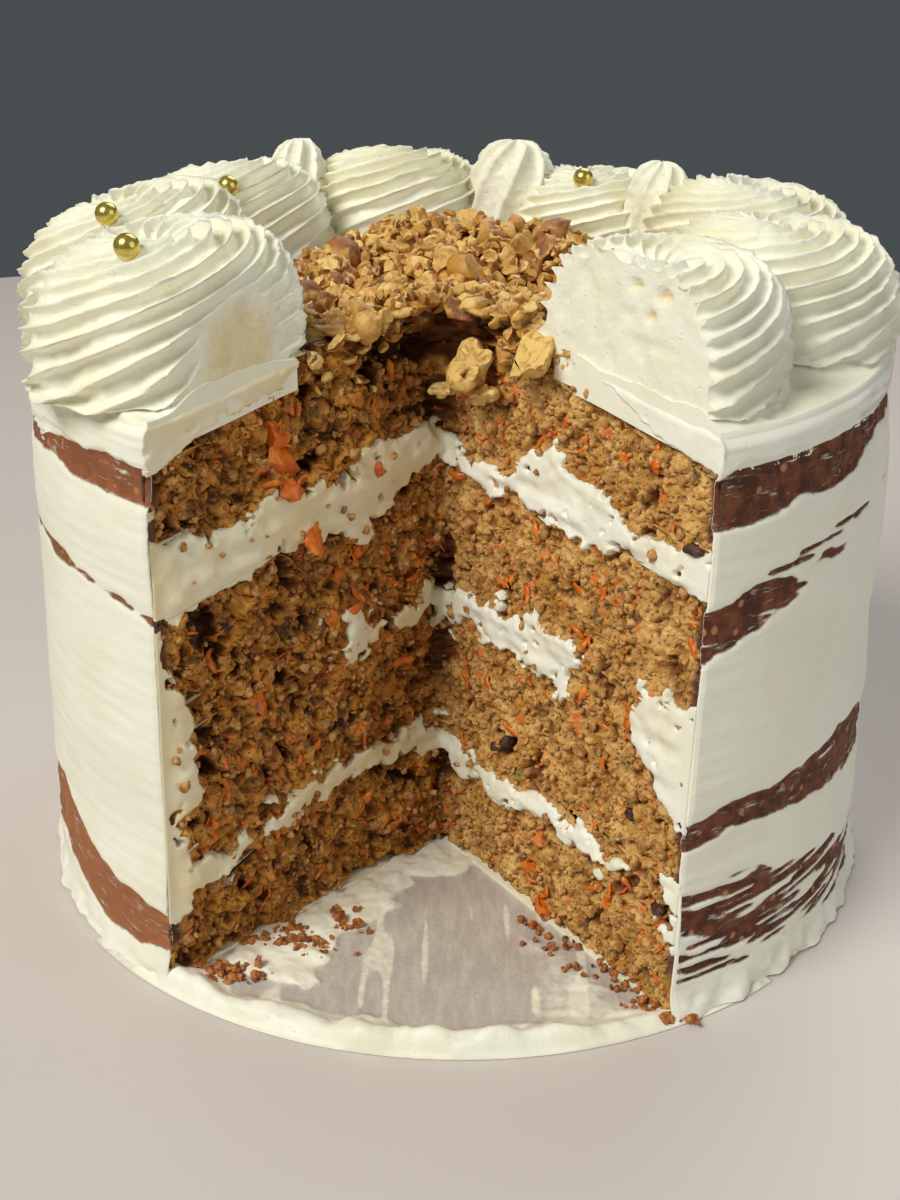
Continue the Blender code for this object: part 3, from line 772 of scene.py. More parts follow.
def cut_layer(name, below, material):
    """One layer of the cake, closed round its back, with its share of the torn cut in front."""
    is_slab = name == "top_cream"
    low, high = LEVELS[below][0], LEVELS[name][0]
    face, wall = round(160.0 / CRUMB_PITCH), 520 if is_slab else 60
    rows, columns = max(4, round((10.0 if is_slab else high - low) / CRUMB_PITCH)), face + wall
    nominal = RIM_HEIGHT if is_slab else 0.5 * (high + low)
    radius = body_radius(nominal) - (0.05 if is_slab else 0.4)
    left, right = (float(reach(h, radius)) for h in (LEFT_HEADING, right_heading(nominal)))

    def place(u, v):
        index = np.round(u * columns) % columns
        in_face = index <= face
        along = mix(-left, right, np.clip(index / face, 0.0, 1.0))
        heading = mix(right_heading(nominal), LEFT_HEADING, np.clip((index - face) / wall, 0.0, 1.0))
        behind = CUT_END + direction(heading) * reach(heading, radius - 1.8 * (not is_slab))[:, None]
        flat = np.where(in_face[:, None], on_cut(along, np.full(len(u), nominal))[0], behind)
        z = mix(level(below, flat), slab_height(flat) if is_slab else level(name, flat), v)
        rounding = -1.1 * ease(0.16, 0.0, v) - 2.0 * ease(0.6, 1.0, v) ** 2
        if is_slab:
            to_end = np.where(along < 0, left, right) - np.abs(along)
            along = along * (1.0 + rounding / radius * ease(6.0, 0.5, to_end))
        else:
            along = along * (body_radius(z) - 0.4) / radius
        points, masks = cut_relief(along, z)
        if is_slab:
            at = np.column_stack([flat, z])
            torn_edge = (layered(at, (7.0, 43, 1.1), (2.2, 44, 0.5)) - 0.4) * (1.0 - v) ** 2
            z = z + np.where(in_face, 0.0, torn_edge)
            behind = wall_point(heading, z)[0] * (1.0 + rounding / BODY_RADIUS)[:, None]
        points = np.where(in_face[:, None], points, np.column_stack([behind, z]))
        for mask, value in (("cream", "sponge" not in name), ("pit", 0.0), ("left", 0.0), ("crust", 1.0)):
            masks[mask] = np.where(in_face, masks[mask], value)
        masks["crust"] = masks["crust"] * (not is_slab)
        return points, masks

    bm = close(shaped_grid(columns, rows, place), (CUT_END[0], 22.0))
    piece(name + "_cut", bm, material, (name,))


# ---------------------------------------------------------------- coat, slab and board


def side_coat(material):
    """Coat round the side: its two cut ends, its scraped outside, and the wall against the crumb."""
    end, corner, inside = 12, 5, 70
    outer = round(475.0 / COAT_PITCH)
    first, last = end + corner, end + corner + outer
    past = last + corner + end
    columns, rows = past + inside, round(116.0 / COAT_PITCH)

    def place(u, v):
        index = np.round(u * columns) % columns
        share = np.clip((index - first) / outer, 0.0, 1.0)
        heading = mix(LEFT_HEADING, RIGHT_HEADING_RIM, share)
        rough = CUT_END + direction(heading) * reach(heading, RIM_RADIUS)[:, None]
        z = mix(0.35, level("sponge_4", rough) + 1.6, v)
        around, bare = wall_point(mix(LEFT_HEADING, right_heading(z), share), z)
        on_left = index <= first
        at_end = on_left | ((index >= last) & (index <= past))
        step_in = np.where(on_left, end - index, index - last - corner) / end
        bend = np.where(on_left, index - end, last + corner - index) / corner
        bend = np.clip(bend, 0.0, 1.0) * math.pi / 2
        inwards = np.where(step_in < 0, 0.5 * (1.0 - np.sin(bend)), 0.5 + 3.5 * np.clip(step_in, 0.0, 1.0))
        behind = np.where(step_in < 0, 0.5 * (1.0 - np.cos(bend)), 2.6 * ease(0.0, 0.4, step_in)) + 0.15
        side = direction(np.where(on_left, LEFT_HEADING, right_heading(z)))
        ahead = np.where(on_left[:, None], facing_out(LEFT_HEADING, -1), facing_out(right_heading(z), 1))
        cut_end = around - side * inwards[:, None] - ahead * behind[:, None]
        heading = mix(right_heading(z), LEFT_HEADING, np.clip((index - past) / inside, 0.0, 1.0))
        wall = CUT_END + direction(heading) * reach(heading, crumb_radius(z))[:, None]
        flat = np.where(at_end[:, None], cut_end, np.where((index > past)[:, None], wall, around))
        bare = np.where((at_end & (step_in >= 0)) | (index > last + corner), 0.0, bare)
        # Painted light: the crust is painted paler on the lit left side, and more so low down than high up.
        pale = ease(110.0, 60.0, np.degrees(azimuth_of(flat))) * mix(1.0, 0.6, ease(40.0, 90.0, z))
        return np.column_stack([flat, z]), {"crust": bare, "pale": pale}

    piece("side_coat_scraped", close(shaped_grid(columns, rows, place)), material, ("side_coat",))


def sector(u, v, z, radius, inner=3.0):
    """Plan point of the cake: u runs round from the left cut to the right cut, v outwards."""
    heading = mix(LEFT_HEADING + 0.006, right_heading(z) - 0.006, u)
    distance = mix(inner, reach(heading, radius), v)
    return CUT_END + direction(heading) * distance[:, None]


def ring_solid(columns, across_rows, wall_rows, place):
    """Sector closed all round: place(u, across, over) gets across from 0 inside to 1 outside."""
    rows = 2 * (across_rows + wall_rows)

    def wrapped(u, v):
        index = np.round(v * rows) % rows
        run = np.where(index <= across_rows, index, 2 * across_rows + wall_rows - index)
        across = np.clip(run / across_rows, 0.0, 1.0)
        rise = np.clip((index - across_rows) / wall_rows, 0.0, 1.0)
        fall = np.clip((index - 2 * across_rows - wall_rows) / wall_rows, 0.0, 1.0)
        return place(u, across, rise - fall)

    return close(shaped_grid(columns, rows, wrapped))


def slab_height(flat):
    """Top of the slab, with the fillets of cream that the rosettes press up round their feet."""
    top = level("top_cream", flat)
    for azimuth, distance, radius, _ in ROSETTES:
        centre = direction(math.radians(azimuth)) * distance
        seat_height, slope = seat(centre, radius)
        away = np.linalg.norm(flat - centre, axis=1)
        plane = seat_height + slope * ((flat - centre) @ (centre / distance)) + 1.5
        top = np.maximum(top, mix(top, plane, ease(radius + 0.5, radius - 3.5, away)))
    return top


def slab_top(material):
    """Uneven spread top of the slab, between and under the piped cream."""

    def place(u, across, over):
        flat = sector(u, across, RIM_HEIGHT, RIM_RADIUS - 1.5, 41.0)
        at = np.column_stack([flat, slab_height(flat)])
        top = at[:, 2] + layered(at, (9.0, 51, 0.7), (3.0, 52, 0.3)) * ease(1.0, 0.9, across) + 0.1
        return np.column_stack([flat, mix(level("top_cream", flat) - 6.0, top, over)]), {}

    piece("slab_top", ring_solid(200, 60, 3, place), material, ("top_cream",))


def base_under_cake(material):
    """Cream that the cake stands on."""

    def place(u, across, over):
        flat = sector(u, across, 0.0 * u, FOOT_RADIUS - 0.8)
        at = np.column_stack([flat, np.zeros(len(u))])
        edge = 1.0 + bumps(at, 9.0, 53) * 0.006 * across
        return np.column_stack([flat * edge[:, None], over * (0.2 + 1.1 * ease(1.0, 0.97, across))]), {}

    piece("base_under_cake", ring_solid(220, 12, 2, place), material, ("base_cream",))


def base_smear(material):
    """Thin smear inside the cut, with the ridge that the lifted slice left along the foot."""

    def place(u, v):
        azimuth = np.radians(mix(52.0, -42.0, u))
        distance = mix(14.0, 101.0, v)
        flat = direction(azimuth) * distance[:, None]
        at = np.column_stack([flat, np.zeros(len(u))])
        turn = np.degrees(azimuth)
        shift = layered(at, (9.0, 61, 2.4), (3.0, 62, 0.8))
        on_ridge = ease(-40.0, -6.0, turn) * ease(46.0, 36.0, turn)
        crest = np.exp(-((distance + shift * 0.4 - 97.0) / mix(1.6, 3.0, on_ridge)) ** 2)
        drag = bumps(with_sizes(at, (2.6, 15.0, 1.0)), 1.0, 63)
        x, y = flat[:, 0], flat[:, 1]
        tear = bumps(at, 2.4, 68) * 1.2
        left_patch, right_patch = (
            depth_inside(x + shift + tear, y + bumps(at, 8.0, 69) * 2.0 + tear, outline) for outline in BOARD_PATCHES)
        left_patch, right_patch = ease(-1.0, 2.6, left_patch), ease(-1.0, 6.0, right_patch) * 0.4
        top_patch = ease(-1.0, 3.0, 9.0 + shift - np.hypot((x + 6.0) / 1.6, y + 27.0))
        rim_patch = ease(89.0, 95.0, distance + shift) * mix(0.45, 1.0, on_ridge)
        cover = np.maximum.reduce([left_patch * ease(-1.5, -0.5, drag), top_patch, right_patch, rim_patch])
        film = 0.22 + 0.05 * drag
        ripple = bumps(with_sizes(at, (7.0, 1.7, 1.0)), 1.0, 64) * 0.35 * right_patch
        thick = film + cover * (0.75 + bumps(at, 3.4, 65) * 0.45 + bumps(at, 1.3, 66) * 0.15) + ripple
        thick += crest * on_ridge * (2.4 + bumps(at, 7.0, 67) * 1.0)
        fade = ease(101.0, 99.0, distance + shift * 0.3)
        z = np.maximum(thick, 0.12) * fade + 0.02
        streak = ease(0.55, 0.9, drag) * 0.45
        return np.column_stack([flat, z]), {"cover": np.clip(cover + crest * on_ridge + streak, 0.0, 1.0)}

    bm = shaped_grid(270, 170, place)
    rim = [edge for edge in bm.edges if edge.is_boundary]
    skirt = bmesh.ops.extrude_edge_only(bm, edges=rim)["geom"]
    for vert in (item for item in skirt if isinstance(item, bmesh.types.BMVert)):
        vert.co.z = 0.0
    piece("base_smear", close(bm), material, ("base_cream",))


# ---------------------------------------------------------------- piped cream


def seat(centre, radius):
    """Plane that a piped piece sits on: its height at the centre, and its slope outwards."""
    outward = centre / np.linalg.norm(centre)
    ends = np.array((centre - outward * radius * 0.8, centre + outward * radius * 0.8))
    low, high = level("top_cream", ends)
    slope = SEAT_LEAN * (high - low) / (1.6 * radius)
    turns = np.arange(24) * math.pi / 12.0
    ring = np.concatenate([centre + direction(turns) * radius * share for share in (0.0, 0.5, 1.0)])
    length = np.linalg.norm(ring, axis=1, keepdims=True)
    ring = ring * np.minimum(1.0, RIM_RADIUS / length)
    height = np.max(level("top_cream", ring) - slope * ((ring - centre) @ outward))
    return height, slope


def rosette_profile(v):
    """Foot, full belly, rounded shoulder and sunken eye, as shares of the radius and height."""
    angle = -0.16 + (math.pi / 2 + 0.16) * v
    across = np.maximum(np.cos(angle), 0.0) ** 0.62
    up = np.sin(np.maximum(angle, 0.0)) ** 0.80 * 0.86 + 0.14 * np.minimum(v / 0.1, 1.0)
    up *= np.minimum(v * 30.0, 1.0)
    eye = EYE_DEPTH / 27.0 * np.exp(-((across * 27.0 / EYE_RADIUS) ** 2))
    return across, up - eye


def dollop_profile(v):
    """A blunt upright star: nearly straight sides and a soft rounded top."""
    angle = math.pi / 2 * np.clip(v, 0.0, 1.0)
    return np.maximum(np.cos(angle), 0.0) ** 0.55, np.sin(angle) ** 0.85


def piped_piece(shape, profile, ridges, depth, twist, rows, seed):
    """Star-piped cream: sharp fins that wind down from the top, with rounded hollows between."""
    azimuth, distance, radius, height = shape
    centre = direction(math.radians(azimuth)) * distance
    outward = centre / np.linalg.norm(centre)
    seat_height, slope = seat(centre, radius)
    columns, plug = ridges * 14, 4

    def place(u, v):
        row = np.round(v * (rows + plug)) - plug
        part = np.clip(row / rows, 0.0, 1.0)
        across, up = profile(part)
        ahead, ahead_up = profile(np.clip(part + 0.004, 0.0, 1.0))
        before, before_up = profile(np.clip(part - 0.004, 0.0, 1.0))
        run, rise = (ahead - before) * radius, (ahead_up - before_up) * height
        length = np.maximum(np.hypot(run, rise), 1e-6)
        turn = math.radians(azimuth) + 2.0 * math.pi * (u % 1.0) - twist * part
        rough = np.column_stack([centre + direction(turn) * (across * radius)[:, None], up * height + seat_height])
        phase = (u % 1.0) * ridges + bumps(rough, 16.0, seed) * 0.10
        wave = phase - np.floor(phase)
        wave = wave + 0.10 * np.sin(2.0 * math.pi * wave)
        valley = np.abs(np.sin(math.pi * wave)) ** 1.05
        size = np.clip(across * radius / 9.0, 0.0, 1.0) * np.clip(part * 14.0 + 0.35, 0.0, 1.0)
        vary = 1.0 + 0.35 * bumps(rough, 9.0, seed + 1)
        airy = bumps(rough, 1.6, seed + 2) * 0.24 * (1.4 - valley) + bumps(rough, 0.8, seed + 3) * 0.09
        wobble = bumps(rough, 22.0, seed + 4) * 0.8
        lift = -depth * valley * size * vary + airy * size + wobble * np.clip(part * 5.0, 0.0, 1.0)
        local = across * radius + lift * rise / length
        top = up * height - lift * run / length
        flat = centre + direction(turn) * np.maximum(local, 0.0)[:, None]
        z = seat_height + top + slope * ((flat - centre) @ outward)
        sunk = row < 0
        flat = np.where(sunk[:, None], mix(centre, flat, 0.82), flat)
        z = np.where(sunk, seat_height + slope * ((flat - centre) @ outward) + row / plug * PLUG_DEPTH, z)
        pole = (row == rows)[:, None]
        flat = np.where(pole, centre, flat)
        z = np.where(pole[:, 0], seat_height + float(profile(np.array([1.0]))[1][0]) * height, z)
        return np.column_stack([flat, z]), {}

    return close(shaped_grid(columns, rows + plug, place))


def cut_flat(bm, normal, shade, hollows):
    """Cuts off what reaches into the missing wedge, and closes the cut with a slightly torn face, with painted shade
    over it and in its hollows.
    """
    tint = bm.verts.layers.float.new("shade")
    inward = Vector((*normal, 0.0))
    end = Vector((*(CUT_END / 1000.0), 0.0)) - inward * 0.0007
    made = bmesh.ops.bisect_plane(
        bm, geom=everything(bm), dist=1e-7, plane_co=end, plane_no=inward, clear_outer=True)
    edges = [item for item in made["geom_cut"] if isinstance(item, bmesh.types.BMEdge)]
    for edge in edges:
        edge.smooth = False
    rim = np.array([vert.co[:] for edge in edges for vert in edge.verts]) * 1000.0
    rim = rim[rim[:, 2] > rim[:, 2].min() + 4.0]
    lid = bmesh.ops.contextual_create(bm, geom=edges)["faces"]
    upright = Vector((0.0, 0.0, 1.0))
    for side in (upright.cross(inward), upright):
        spots = [vert.co.dot(side) for face in lid for vert in face.verts]
        for step in np.arange(min(spots) + LID_PITCH / 2, max(spots), LID_PITCH):
            around = {edge for face in lid for edge in face.edges}
            corners = {vert for face in lid for vert in face.verts}
            geometry = list(corners) + list(around) + list(lid)
            cut = bmesh.ops.bisect_plane(bm, geom=geometry, dist=1e-7, plane_co=side * step, plane_no=side)
            lid = [item for item in cut["geom"] if isinstance(item, bmesh.types.BMFace)]
    own = set(lid)
    corners = {vert for face in lid for vert in face.verts}
    inside = [vert for vert in corners if all(face in own for face in vert.link_faces)]
    at = np.array([vert.co[:] for vert in inside]) * 1000.0
    relief = cut_cream(at)
    run = np.hypot(at[:, 0] - CUT_END[0], at[:, 1] - CUT_END[1])
    for along, z, size in hollows:
        relief -= 1.5 * ease(size, size * 0.3, np.hypot(run - along, (at[:, 2] - z) * 1.4))
    for vert, spot, lift in zip(inside, at, relief):
        vert.co += inward * (float(lift) / 1000.0)
        to_rim = float(np.linalg.norm(rim - spot, axis=1).min())
        # Painted shade: shade fades in over 5 mm from the rim, and hollows deeper than 0.9 mm get 0.8 more.
        vert[tint] = shade * min(1.0, to_rim / 5.0) + (0.8 if lift < -0.9 else 0.0)
    for face in lid:
        face.smooth = True


def piped_ring(material):
    """Rosettes round the edge, two of them sliced by the cut, and the small dollops."""
    for index, shape in enumerate(ROSETTES):
        bm = piped_piece(shape, rosette_profile, RIDGES, RIDGE_DEPTH, ROSETTE_TWIST, 110, 100 + 7 * index)
        if index == 0:
            # Painted shade of 0.8 over rosette_1's cut, which faces away from the light.
            cut_flat(bm, facing_out(LEFT_HEADING, -1), 0.8, ())
        if index == len(ROSETTES) - 1:
            cut_flat(bm, facing_out(RIGHT_HEADING_RIM, 1), 0.0, ((56, 145, 2.0), (63, 144, 2.4), (60, 140, 1.6)))
        piece(f"rosette_{index + 1}_swirl", bm, material, (f"rosette_{index + 1}",))
    for index, shape in enumerate(DOLLOPS):
        bm = piped_piece(shape, dollop_profile, 9, 2.0, math.radians(70.0), 70, 200 + 7 * index)
        piece(f"dollop_{index + 1}_star", bm, material, (f"dollop_{index + 1}",))


# ---------------------------------------------------------------- walnuts, pearls and bits


def nut_shape(seed, sides, flatness, folding=0.42):
    """One chopped bit: a lobed, wrinkled kernel or a curved flake, with broken faces cut across it."""
    chance = np.random.default_rng(seed)
    bm = bmesh.new()
    bmesh.ops.create_icosphere(bm, subdivisions=3 if sides < 2 or folding > 0.7 else 2, radius=1.0)
    mesh = bpy.data.meshes.new("bit")
    bm.to_mesh(mesh)
    points = coordinates(mesh)
    folds = np.abs(bumps(points + seed * 3.0, 1.0, 3)) ** 0.8
    lump = 1.0 - 0.5 * folding + folding * folds + 0.05 * bumps(points + seed, 0.45, 4)
    points = points * lump[:, None] * (1.0, chance.uniform(0.6, 0.9), flatness)
    curl = 1.0 - flatness
    points[:, 2] += 0.45 * curl * (points[:, 0] ** 2 - 0.4) + 0.25 * curl * points[:, 1] * points[:, 0]
    bpy.data.meshes.remove(mesh)
    skin = bm.verts.layers.float.new("skin")
    for vert, point, fold in zip(bm.verts, points, folds):
        vert.co = point
        vert[skin] = 1.0 - 0.5 * float(min(fold * 1.6, 1.0))
    for _ in range(sides):
        normal = Vector(chance.normal(size=3))
        normal.z *= 0.4 + 0.6 * flatness
        normal.normalize()
        broken = normal * chance.uniform(0.30, 0.58)
        bmesh.ops.bisect_plane(bm, geom=everything(bm), plane_co=broken, plane_no=normal, clear_outer=True)
        rim = [edge for edge in bm.edges if edge.is_boundary]
        if rim:
            for edge in rim:
                edge.smooth = False
            for vert in [v for v in bm.verts if v.is_boundary]:
                vert[skin] = 0.0
                vert.co += Vector(chance.normal(size=3)) * 0.03
            lid = bmesh.ops.holes_fill(bm, edges=rim, sides=0)["faces"]
            for vert in bmesh.ops.poke(bm, faces=lid)["verts"]:
                vert.co += normal * chance.uniform(-0.22, 0.08)
                vert[skin] = 0.0
    bmesh.ops.remove_doubles(bm, verts=bm.verts, dist=0.04)
    middle = sum((vert.co for vert in bm.verts), Vector()) / len(bm.verts)
    bmesh.ops.translate(bm, verts=bm.verts, vec=-middle)
    mean = sum(vert.co.length for vert in bm.verts) / len(bm.verts)
    bmesh.ops.scale(bm, verts=bm.verts, vec=(0.66 / mean,) * 3)
    return as_mesh(bm, f"bit_{seed}")


def scatter(name, shapes, places, material, nodes=(), smooth=False):
    """One piece out of many bits: places are (point, size, tone, skin share, optional facing), in mm."""
    chance = np.random.default_rng(len(places))
    whole = bmesh.new()
    for first in range(0, len(places), 40):
        bm = bmesh.new()
        tone = bm.verts.layers.float.new("tone")
        skin = bm.verts.layers.float.new("skin")
        for point, size, shade, share, *facing in places[first : first + 40]:
            start = len(bm.verts)
            bm.from_mesh(shapes[int(chance.integers(len(shapes)))])
            bm.verts.ensure_lookup_table()
            fresh = bm.verts[start:]
            if facing:
                tilt = Vector(facing[0]) + Vector(chance.normal(size=3)) * 0.35
                turn = tilt.to_track_quat("Z", "Y").to_matrix().to_4x4()
                turn = turn @ Matrix.Rotation(chance.uniform(0, 6.28), 4, "Z")
            else:
                axis = Vector(chance.normal(size=3)).normalized()
                turn = Matrix.Rotation(chance.uniform(0, 6.28), 4, axis)
            scale = Matrix.Diagonal((size / 1000.0,) * 3).to_4x4()
            place = Matrix.Translation(Vector(point) / 1000.0)
            bmesh.ops.transform(bm, matrix=place @ turn @ scale, verts=fresh)
            for vert in fresh:
                vert[tone] = shade
                vert[skin] *= share
        batch = as_mesh(bm, "batch")
        whole.from_mesh(batch)
        bpy.data.meshes.remove(batch)
    piece(name, whole, material, nodes, smooth)


def shred_shape(seed):
    """A grated strand: flat, slightly bent and twisted, thinner at its ends."""
    chance = np.random.default_rng(seed)
    bm = bmesh.new()
    bmesh.ops.create_cone(bm, cap_ends=True, segments=6, radius1=1.0, radius2=1.0, depth=1.0)
    long = [edge for edge in bm.edges if abs(edge.verts[0].co.z - edge.verts[1].co.z) > 0.5]
    bmesh.ops.subdivide_edges(bm, edges=long, cuts=5)
    bend, twist, width = chance.uniform(0.1, 0.5), chance.uniform(-1.5, 1.5), chance.uniform(0.20, 0.42)
    for vert in bm.verts:
        run = vert.co.z * 2.0
        slim = 1.0 - 0.55 * run * run + 0.15 * math.sin(5.0 * run + twist)
        side, thick = vert.co.x * width * slim, vert.co.y * 0.10 * slim
        lift = thick + 0.14 * math.sin(3.0 * run + twist) + 0.2 * side * twist
        vert.co = Vector((run, side + bend * run * run, lift))
    return as_mesh(bm, f"shred_{seed}")


def crumb_shape(seed):
    """A crumb: an uneven lump with dents."""
    chance = np.random.default_rng(seed)
    stretch = chance.uniform(0.55, 1.15, 3)
    bm = bmesh.new()
    bmesh.ops.create_icosphere(bm, subdivisions=2, radius=1.0)
    for vert in bm.verts:
        at = np.array([vert.co[:]]) + seed * 3.0
        swell = 1.0 + 0.45 * float(bumps(at, 0.8, 5)[0]) + 0.30 * float(bumps(at, 0.42, 6)[0])
        vert.co = Vector([value * swell * wide for value, wide in zip(vert.co, stretch)])
    return as_mesh(bm, f"crumb_{seed}")


def on_the_cut(along, z):
    """Points, ways out and masks on the torn face."""
    points, masks = cut_relief(along, z)
    return points, on_cut(along, z)[1], masks


def pushed(point, out, far):
    return point[0] + out[0] * far, point[1] + out[1] * far, point[2]


def bits_on_cut(crumb_material, crust_material, carrot, raisin):
    """Grated carrot, loose crumbs and dark fruit that stick to the torn faces."""
    chance = np.random.default_rng(31)
    crumbs, shreds = [crumb_shape(k) for k in range(8)], [shred_shape(k) for k in range(8)]

    def crumb_size(middle, spread, smallest, largest):
        return float(np.clip(chance.lognormal(math.log(middle), spread), smallest, largest))

    along = chance.uniform(-77.0, 80.0, CLINGING_CRUMBS)
    z = chance.uniform(2.0, 124.0, CLINGING_CRUMBS)
    points, out, masks = on_the_cut(along, z)
    on_cream = chance.uniform(size=CLINGING_CRUMBS) < 0.10
    free = (slab_depth(along, z) < -0.8) & ((masks["cream"] < 0.5) | on_cream)
    places = []
    for point, facing in zip(points[free], out[free]):
        size = crumb_size(0.62, 0.35, 0.35, 1.5)
        places.append((pushed(point, facing, size * 0.35), size, chance.uniform(), 0.0))
    scatter("clinging_crumbs", crumbs, places, crumb_material, smooth=True)

    along, z = chance.uniform(-75.0, 78.0, CARROT_SHREDS), chance.uniform(3.0, 121.0, CARROT_SHREDS)
    for at_along, at_z in CARROT_SPOTS:
        along = np.append(along, at_along + chance.uniform(-2.0, 2.0, 3))
        z = np.append(z, at_z + chance.uniform(-2.0, 2.0, 3))
    points, out, masks = on_the_cut(along, z)
    free = (slab_depth(along, z) < -1.5) & (masks["cream"] < 0.6)
    places = []
    for point, facing in zip(points[free], out[free]):
        size = float(chance.uniform(1.1, 2.9))
        places.append((pushed(point, facing, 0.25), size, chance.uniform(), 0.0, (*facing, 0.2)))
    scatter("carrot_shreds", shreds, places, carrot, smooth=True)

    along, z, sizes = np.array(CARROT_CHUNKS, float).T
    points, out, _ = on_the_cut(along, z)
    places = [(pushed(point, facing, size * -0.1), float(size) * 1.25, 0.5, 1.0, (*facing, 0.1))
              for point, facing, size in zip(points, out, sizes)]
    scatter("carrot_chunks", [nut_shape(95 + k, 3, 0.4, 0.7) for k in range(6)], places, carrot)

    points, out, _ = on_the_cut(*np.array(DARK_SPOTS, float).T)
    places = [(pushed(point, facing, -0.2), size, 0.5, 1.0)
              for point, facing, size in zip(points, out, chance.uniform(1.1, 2.1, len(points)))]
    scatter("dark_fruit", crumbs, places, raisin, smooth=True)

    places = []
    for x, y, number in BOARD_CRUMBS:
        for _ in range(number * 3):
            size = crumb_size(0.8, 0.45, 0.3, 1.9)
            spot = (x + chance.normal() * 2.6, y + chance.normal() * 1.5, 0.5 + size * 0.3 + chance.uniform(0, 0.4))
            places.append((spot, size, chance.uniform(), 0.0))
    scatter("board_crumbs", [nut_shape(80 + k, 2, 0.55) for k in range(6)], places, crust_material)


def heap_height(flat):
    """Top of the heap of nuts, which climbs towards the back."""
    climb = ease(CUT_END[1], HEAP_RADIUS, flat[:, 1])
    at = np.column_stack([flat, np.zeros(len(flat))])
    return mix(HEAP_FRONT_HEIGHT, HEAP_BACK_HEIGHT, climb) + bumps(at, 11.0, 71) * 1.6


def heap_edge(flat):
    """Share of the way out to the heap's wandering outline."""
    at = np.column_stack([flat, np.zeros(len(flat))])
    return np.linalg.norm(flat, axis=1) / (HEAP_RADIUS + bumps(at, 14.0, 72) * 3.0)


def walnuts(material):
    """Heap of chopped nuts over its core, the nuts that show in the cut, and the large loose ones."""

    def place(u, across, over):
        flat = sector(u, across, RIM_HEIGHT, HEAP_RADIUS - 10.0) + (0.0, 9.0)
        base = level("top_cream", flat) - 2.5
        top = heap_height(flat) - 3.4 - 3.0 * ease(0.8, 1.0, across)
        at = np.column_stack([flat, top])
        top = np.maximum(top + layered(at, (4.0, 73, 0.9), (1.8, 75, 0.4)), base + 1.5)
        masks = {"skin": 0.6 + 0.4 * bumps(at, 4.0, 74), "tone": np.full(len(u), 0.3)}
        return np.column_stack([flat, mix(base, top, over)]), masks

    piece("walnut_core", ring_solid(150, 40, 4, place), material, ("walnut_heap",))
    shapes = [nut_shape(seed, 1 + seed % 3, (0.28, 0.5, 0.7)[seed // 2 % 3]) for seed in range(18)]
    chance = np.random.default_rng(21)
    tries = chance.uniform(-46.0, 46.0, (NUT_TRIES, 2))
    tries = tries[(heap_edge(tries) < 1.06)]
    sides = (tries - CUT_END) @ np.array([facing_out(LEFT_HEADING, -1), facing_out(RIGHT_HEADING_RIM, 1)]).T
    tries = tries[~((sides[:, 0] > 1.6) & (sides[:, 1] > 1.6))]
    places, fine, taken = [], [], []
    for flat, top, edge, ground in zip(tries, heap_height(tries), heap_edge(tries), level("top_cream", tries)):
        size = float(np.clip(chance.lognormal(math.log(4.2), 0.32), 2.2, 7.0))
        front = float(ease(-6.0, -17.0, flat[1])) * float(ease(26.0, 12.0, abs(flat[0])))
        size = min(size, 7.0 - 3.6 * front)
        height = max(top - 2.6 - 5.0 * max(0.0, edge - 0.86) / 0.2, ground + 1.0) + 4.2 * front
        skin = chance.choice((0.2, 0.6, 1.0), p=(0.48, 0.2, 0.32))
        clear = len(places) < NUTS and all(
            (flat[0] - x) ** 2 + (flat[1] - y) ** 2 > (0.46 * (size + other)) ** 2 for x, y, other in taken)
        if clear:
            taken.append((flat[0], flat[1], size))
            places.append(((*flat, height + chance.uniform(-1.2, 1.4)), size, chance.uniform(), skin))
        elif len(fine) < FINE_NUTS:
            spot = (*flat, height + chance.uniform(1.0, 3.0))
            fine.append((spot, size * chance.uniform(0.22, 0.5), chance.uniform(), skin))
    along, z, size = np.array(NUTS_ON_CUT, float).T
    flat, out = on_cut(along, z)
    for point, facing, wide in zip(np.column_stack([flat, z]), out, size):
        places.append((pushed(point, facing, -1.0), 0.72 * float(wide), chance.uniform(), chance.choice((0.2, 1.0))))
    scatter("walnut_bits", shapes, places, material, ("walnut_heap",), smooth=True)
    scatter("walnut_crumbs", shapes[2::3], fine, material, ("walnut_heap",))
    scatter("walnut_flake", [nut_shape(40, 3, 0.2)], LOOSE_FLAKE, material, smooth=True)
    pieces = ("walnut_piece_1", "walnut_piece_2")
    scatter("walnut_on_cut", [nut_shape(61, 1, 0.75, 0.72)], LOOSE_NUTS, material, pieces, smooth=True)


def pearls(material):
    """Sugar pearls, each resting on the nearest rosette."""
    bm = bmesh.new()
    for x, y, over in PEARLS:
        azimuth = math.degrees(math.atan2(-x, -y)) % 360.0
        shape = min(ROSETTES, key=lambda item: abs(item[0] - azimuth))
        centre = direction(math.radians(shape[0])) * shape[1]
        seat_height, slope = seat(centre, shape[2])
        off = np.array((x, y)) - centre
        share = np.linspace(0.0, 1.0, 200)
        across, up = rosette_profile(share)
        row = int(np.argmin(np.abs(across * shape[2] - np.linalg.norm(off))))
        lean = slope * (off @ (centre / np.linalg.norm(centre)))
        z = seat_height + up[row] * shape[3] + lean + over
        place = Matrix.Translation((x / 1000.0, y / 1000.0, z / 1000.0))
        bmesh.ops.create_uvsphere(bm, u_segments=32, v_segments=20, radius=PEARL_RADIUS / 1000.0, matrix=place)
    piece("sugar_pearls", bm, material)


# ---------------------------------------------------------------- scene


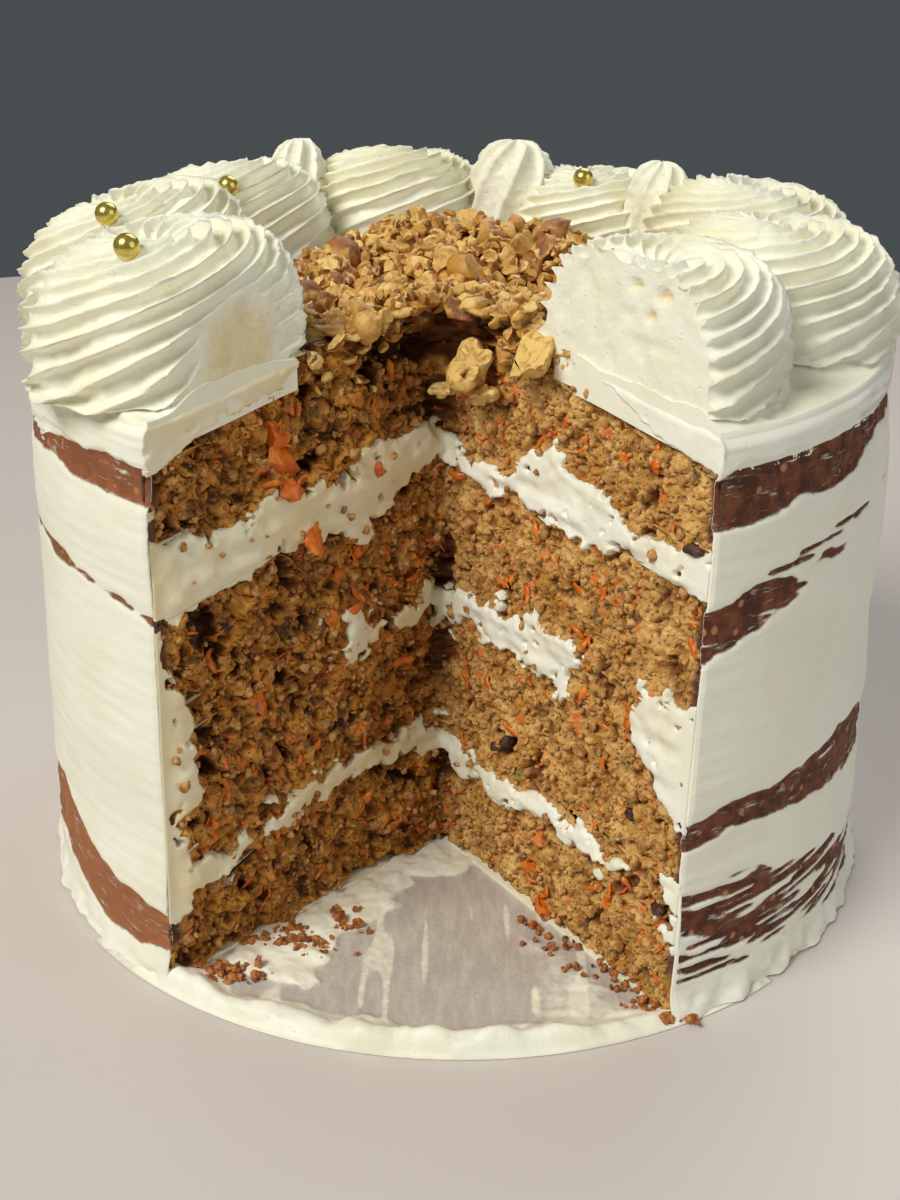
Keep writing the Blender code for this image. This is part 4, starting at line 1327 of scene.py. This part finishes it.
def studio():
    """Pale floor, dim grey world and three large soft lights."""
    bm = bmesh.new()
    bmesh.ops.create_circle(bm, cap_ends=True, segments=128, radius=0.75)
    floor = placed("floor", as_mesh(bm, "floor"))
    pale = new_material("pale_floor", 0.45)
    pale.shader.inputs["Base Color"].default_value = srgb(214, 204, 196)
    floor.data.materials.append(pale.material)
    floor.location.z = -0.0002
    world = bpy.data.worlds.new("studio")
    bpy.context.scene.world = world
    world.use_nodes = True
    background = world.node_tree.nodes["Background"].inputs
    background["Color"].default_value, background["Strength"].default_value = srgb(98, 104, 108), 0.54
    for name, place, size, power, colour in LIGHTS:
        light = bpy.data.lights.new(name, "AREA")
        light.size, light.energy, light.color = size, power, colour
        lamp = placed(name, light)
        lamp.location = place
        lamp.rotation_mode = "QUATERNION"
        lamp.rotation_quaternion = (AIM - Vector(place)).to_track_quat("-Z", "Y")


def camera():
    """Looks down at the cut, tilted a little to one side."""
    data = bpy.data.cameras.new("camera")
    data.sensor_width, data.lens = CAMERA_SENSOR, CAMERA_LENS
    made = placed("camera", data)
    ahead = Vector((0.0, math.cos(CAMERA_PITCH), -math.sin(CAMERA_PITCH)))
    right = Vector((1.0, 0.0, 0.0))
    up = right.cross(ahead)
    across = right * math.cos(CAMERA_ROLL) + up * math.sin(CAMERA_ROLL)
    upward = up * math.cos(CAMERA_ROLL) - right * math.sin(CAMERA_ROLL)
    turn = Matrix((across, upward, -ahead)).transposed()
    made.matrix_world = Matrix.Translation(CAMERA_PLACE) @ turn.to_4x4()
    bpy.context.scene.camera = made


camera()
studio()
bpy.context.scene.view_settings.view_transform = "Standard"
cream_group, sponge_group = whipped_cream_group(), crumb_group()
piped = cream_material("piped_cream", cream_group, srgb(246, 244, 224), srgb(241, 237, 206), 1.0)
spread = cream_material("spread_cream", cream_group, srgb(245, 243, 222), srgb(239, 234, 204), 0.5)
cut = cut_material(cream_group, sponge_group)

for below, name in zip(tuple(LEVELS), LAYERS):
    cut_layer(name, below, cut)
side_coat(coat_material(cream_group))
slab_top(spread)
base_under_cake(spread)
base_smear(smear_material(cream_group))
piped_ring(piped)
walnuts(walnut_material())
bits_on_cut(
    bit_material("loose_crumb", srgb(150, 98, 40), srgb(222, 170, 100), 0.8),
    bit_material("crust_crumb", srgb(124, 64, 24), srgb(204, 132, 62), 0.5),
    bit_material("grated_carrot", srgb(206, 92, 14), srgb(230, 132, 34), 0.38, (420.0, 3.0), 0.7, 0.0003),
    bit_material("dark_fruit", srgb(46, 26, 18), srgb(98, 58, 36), 0.5),
)
pearls(pearl_material())
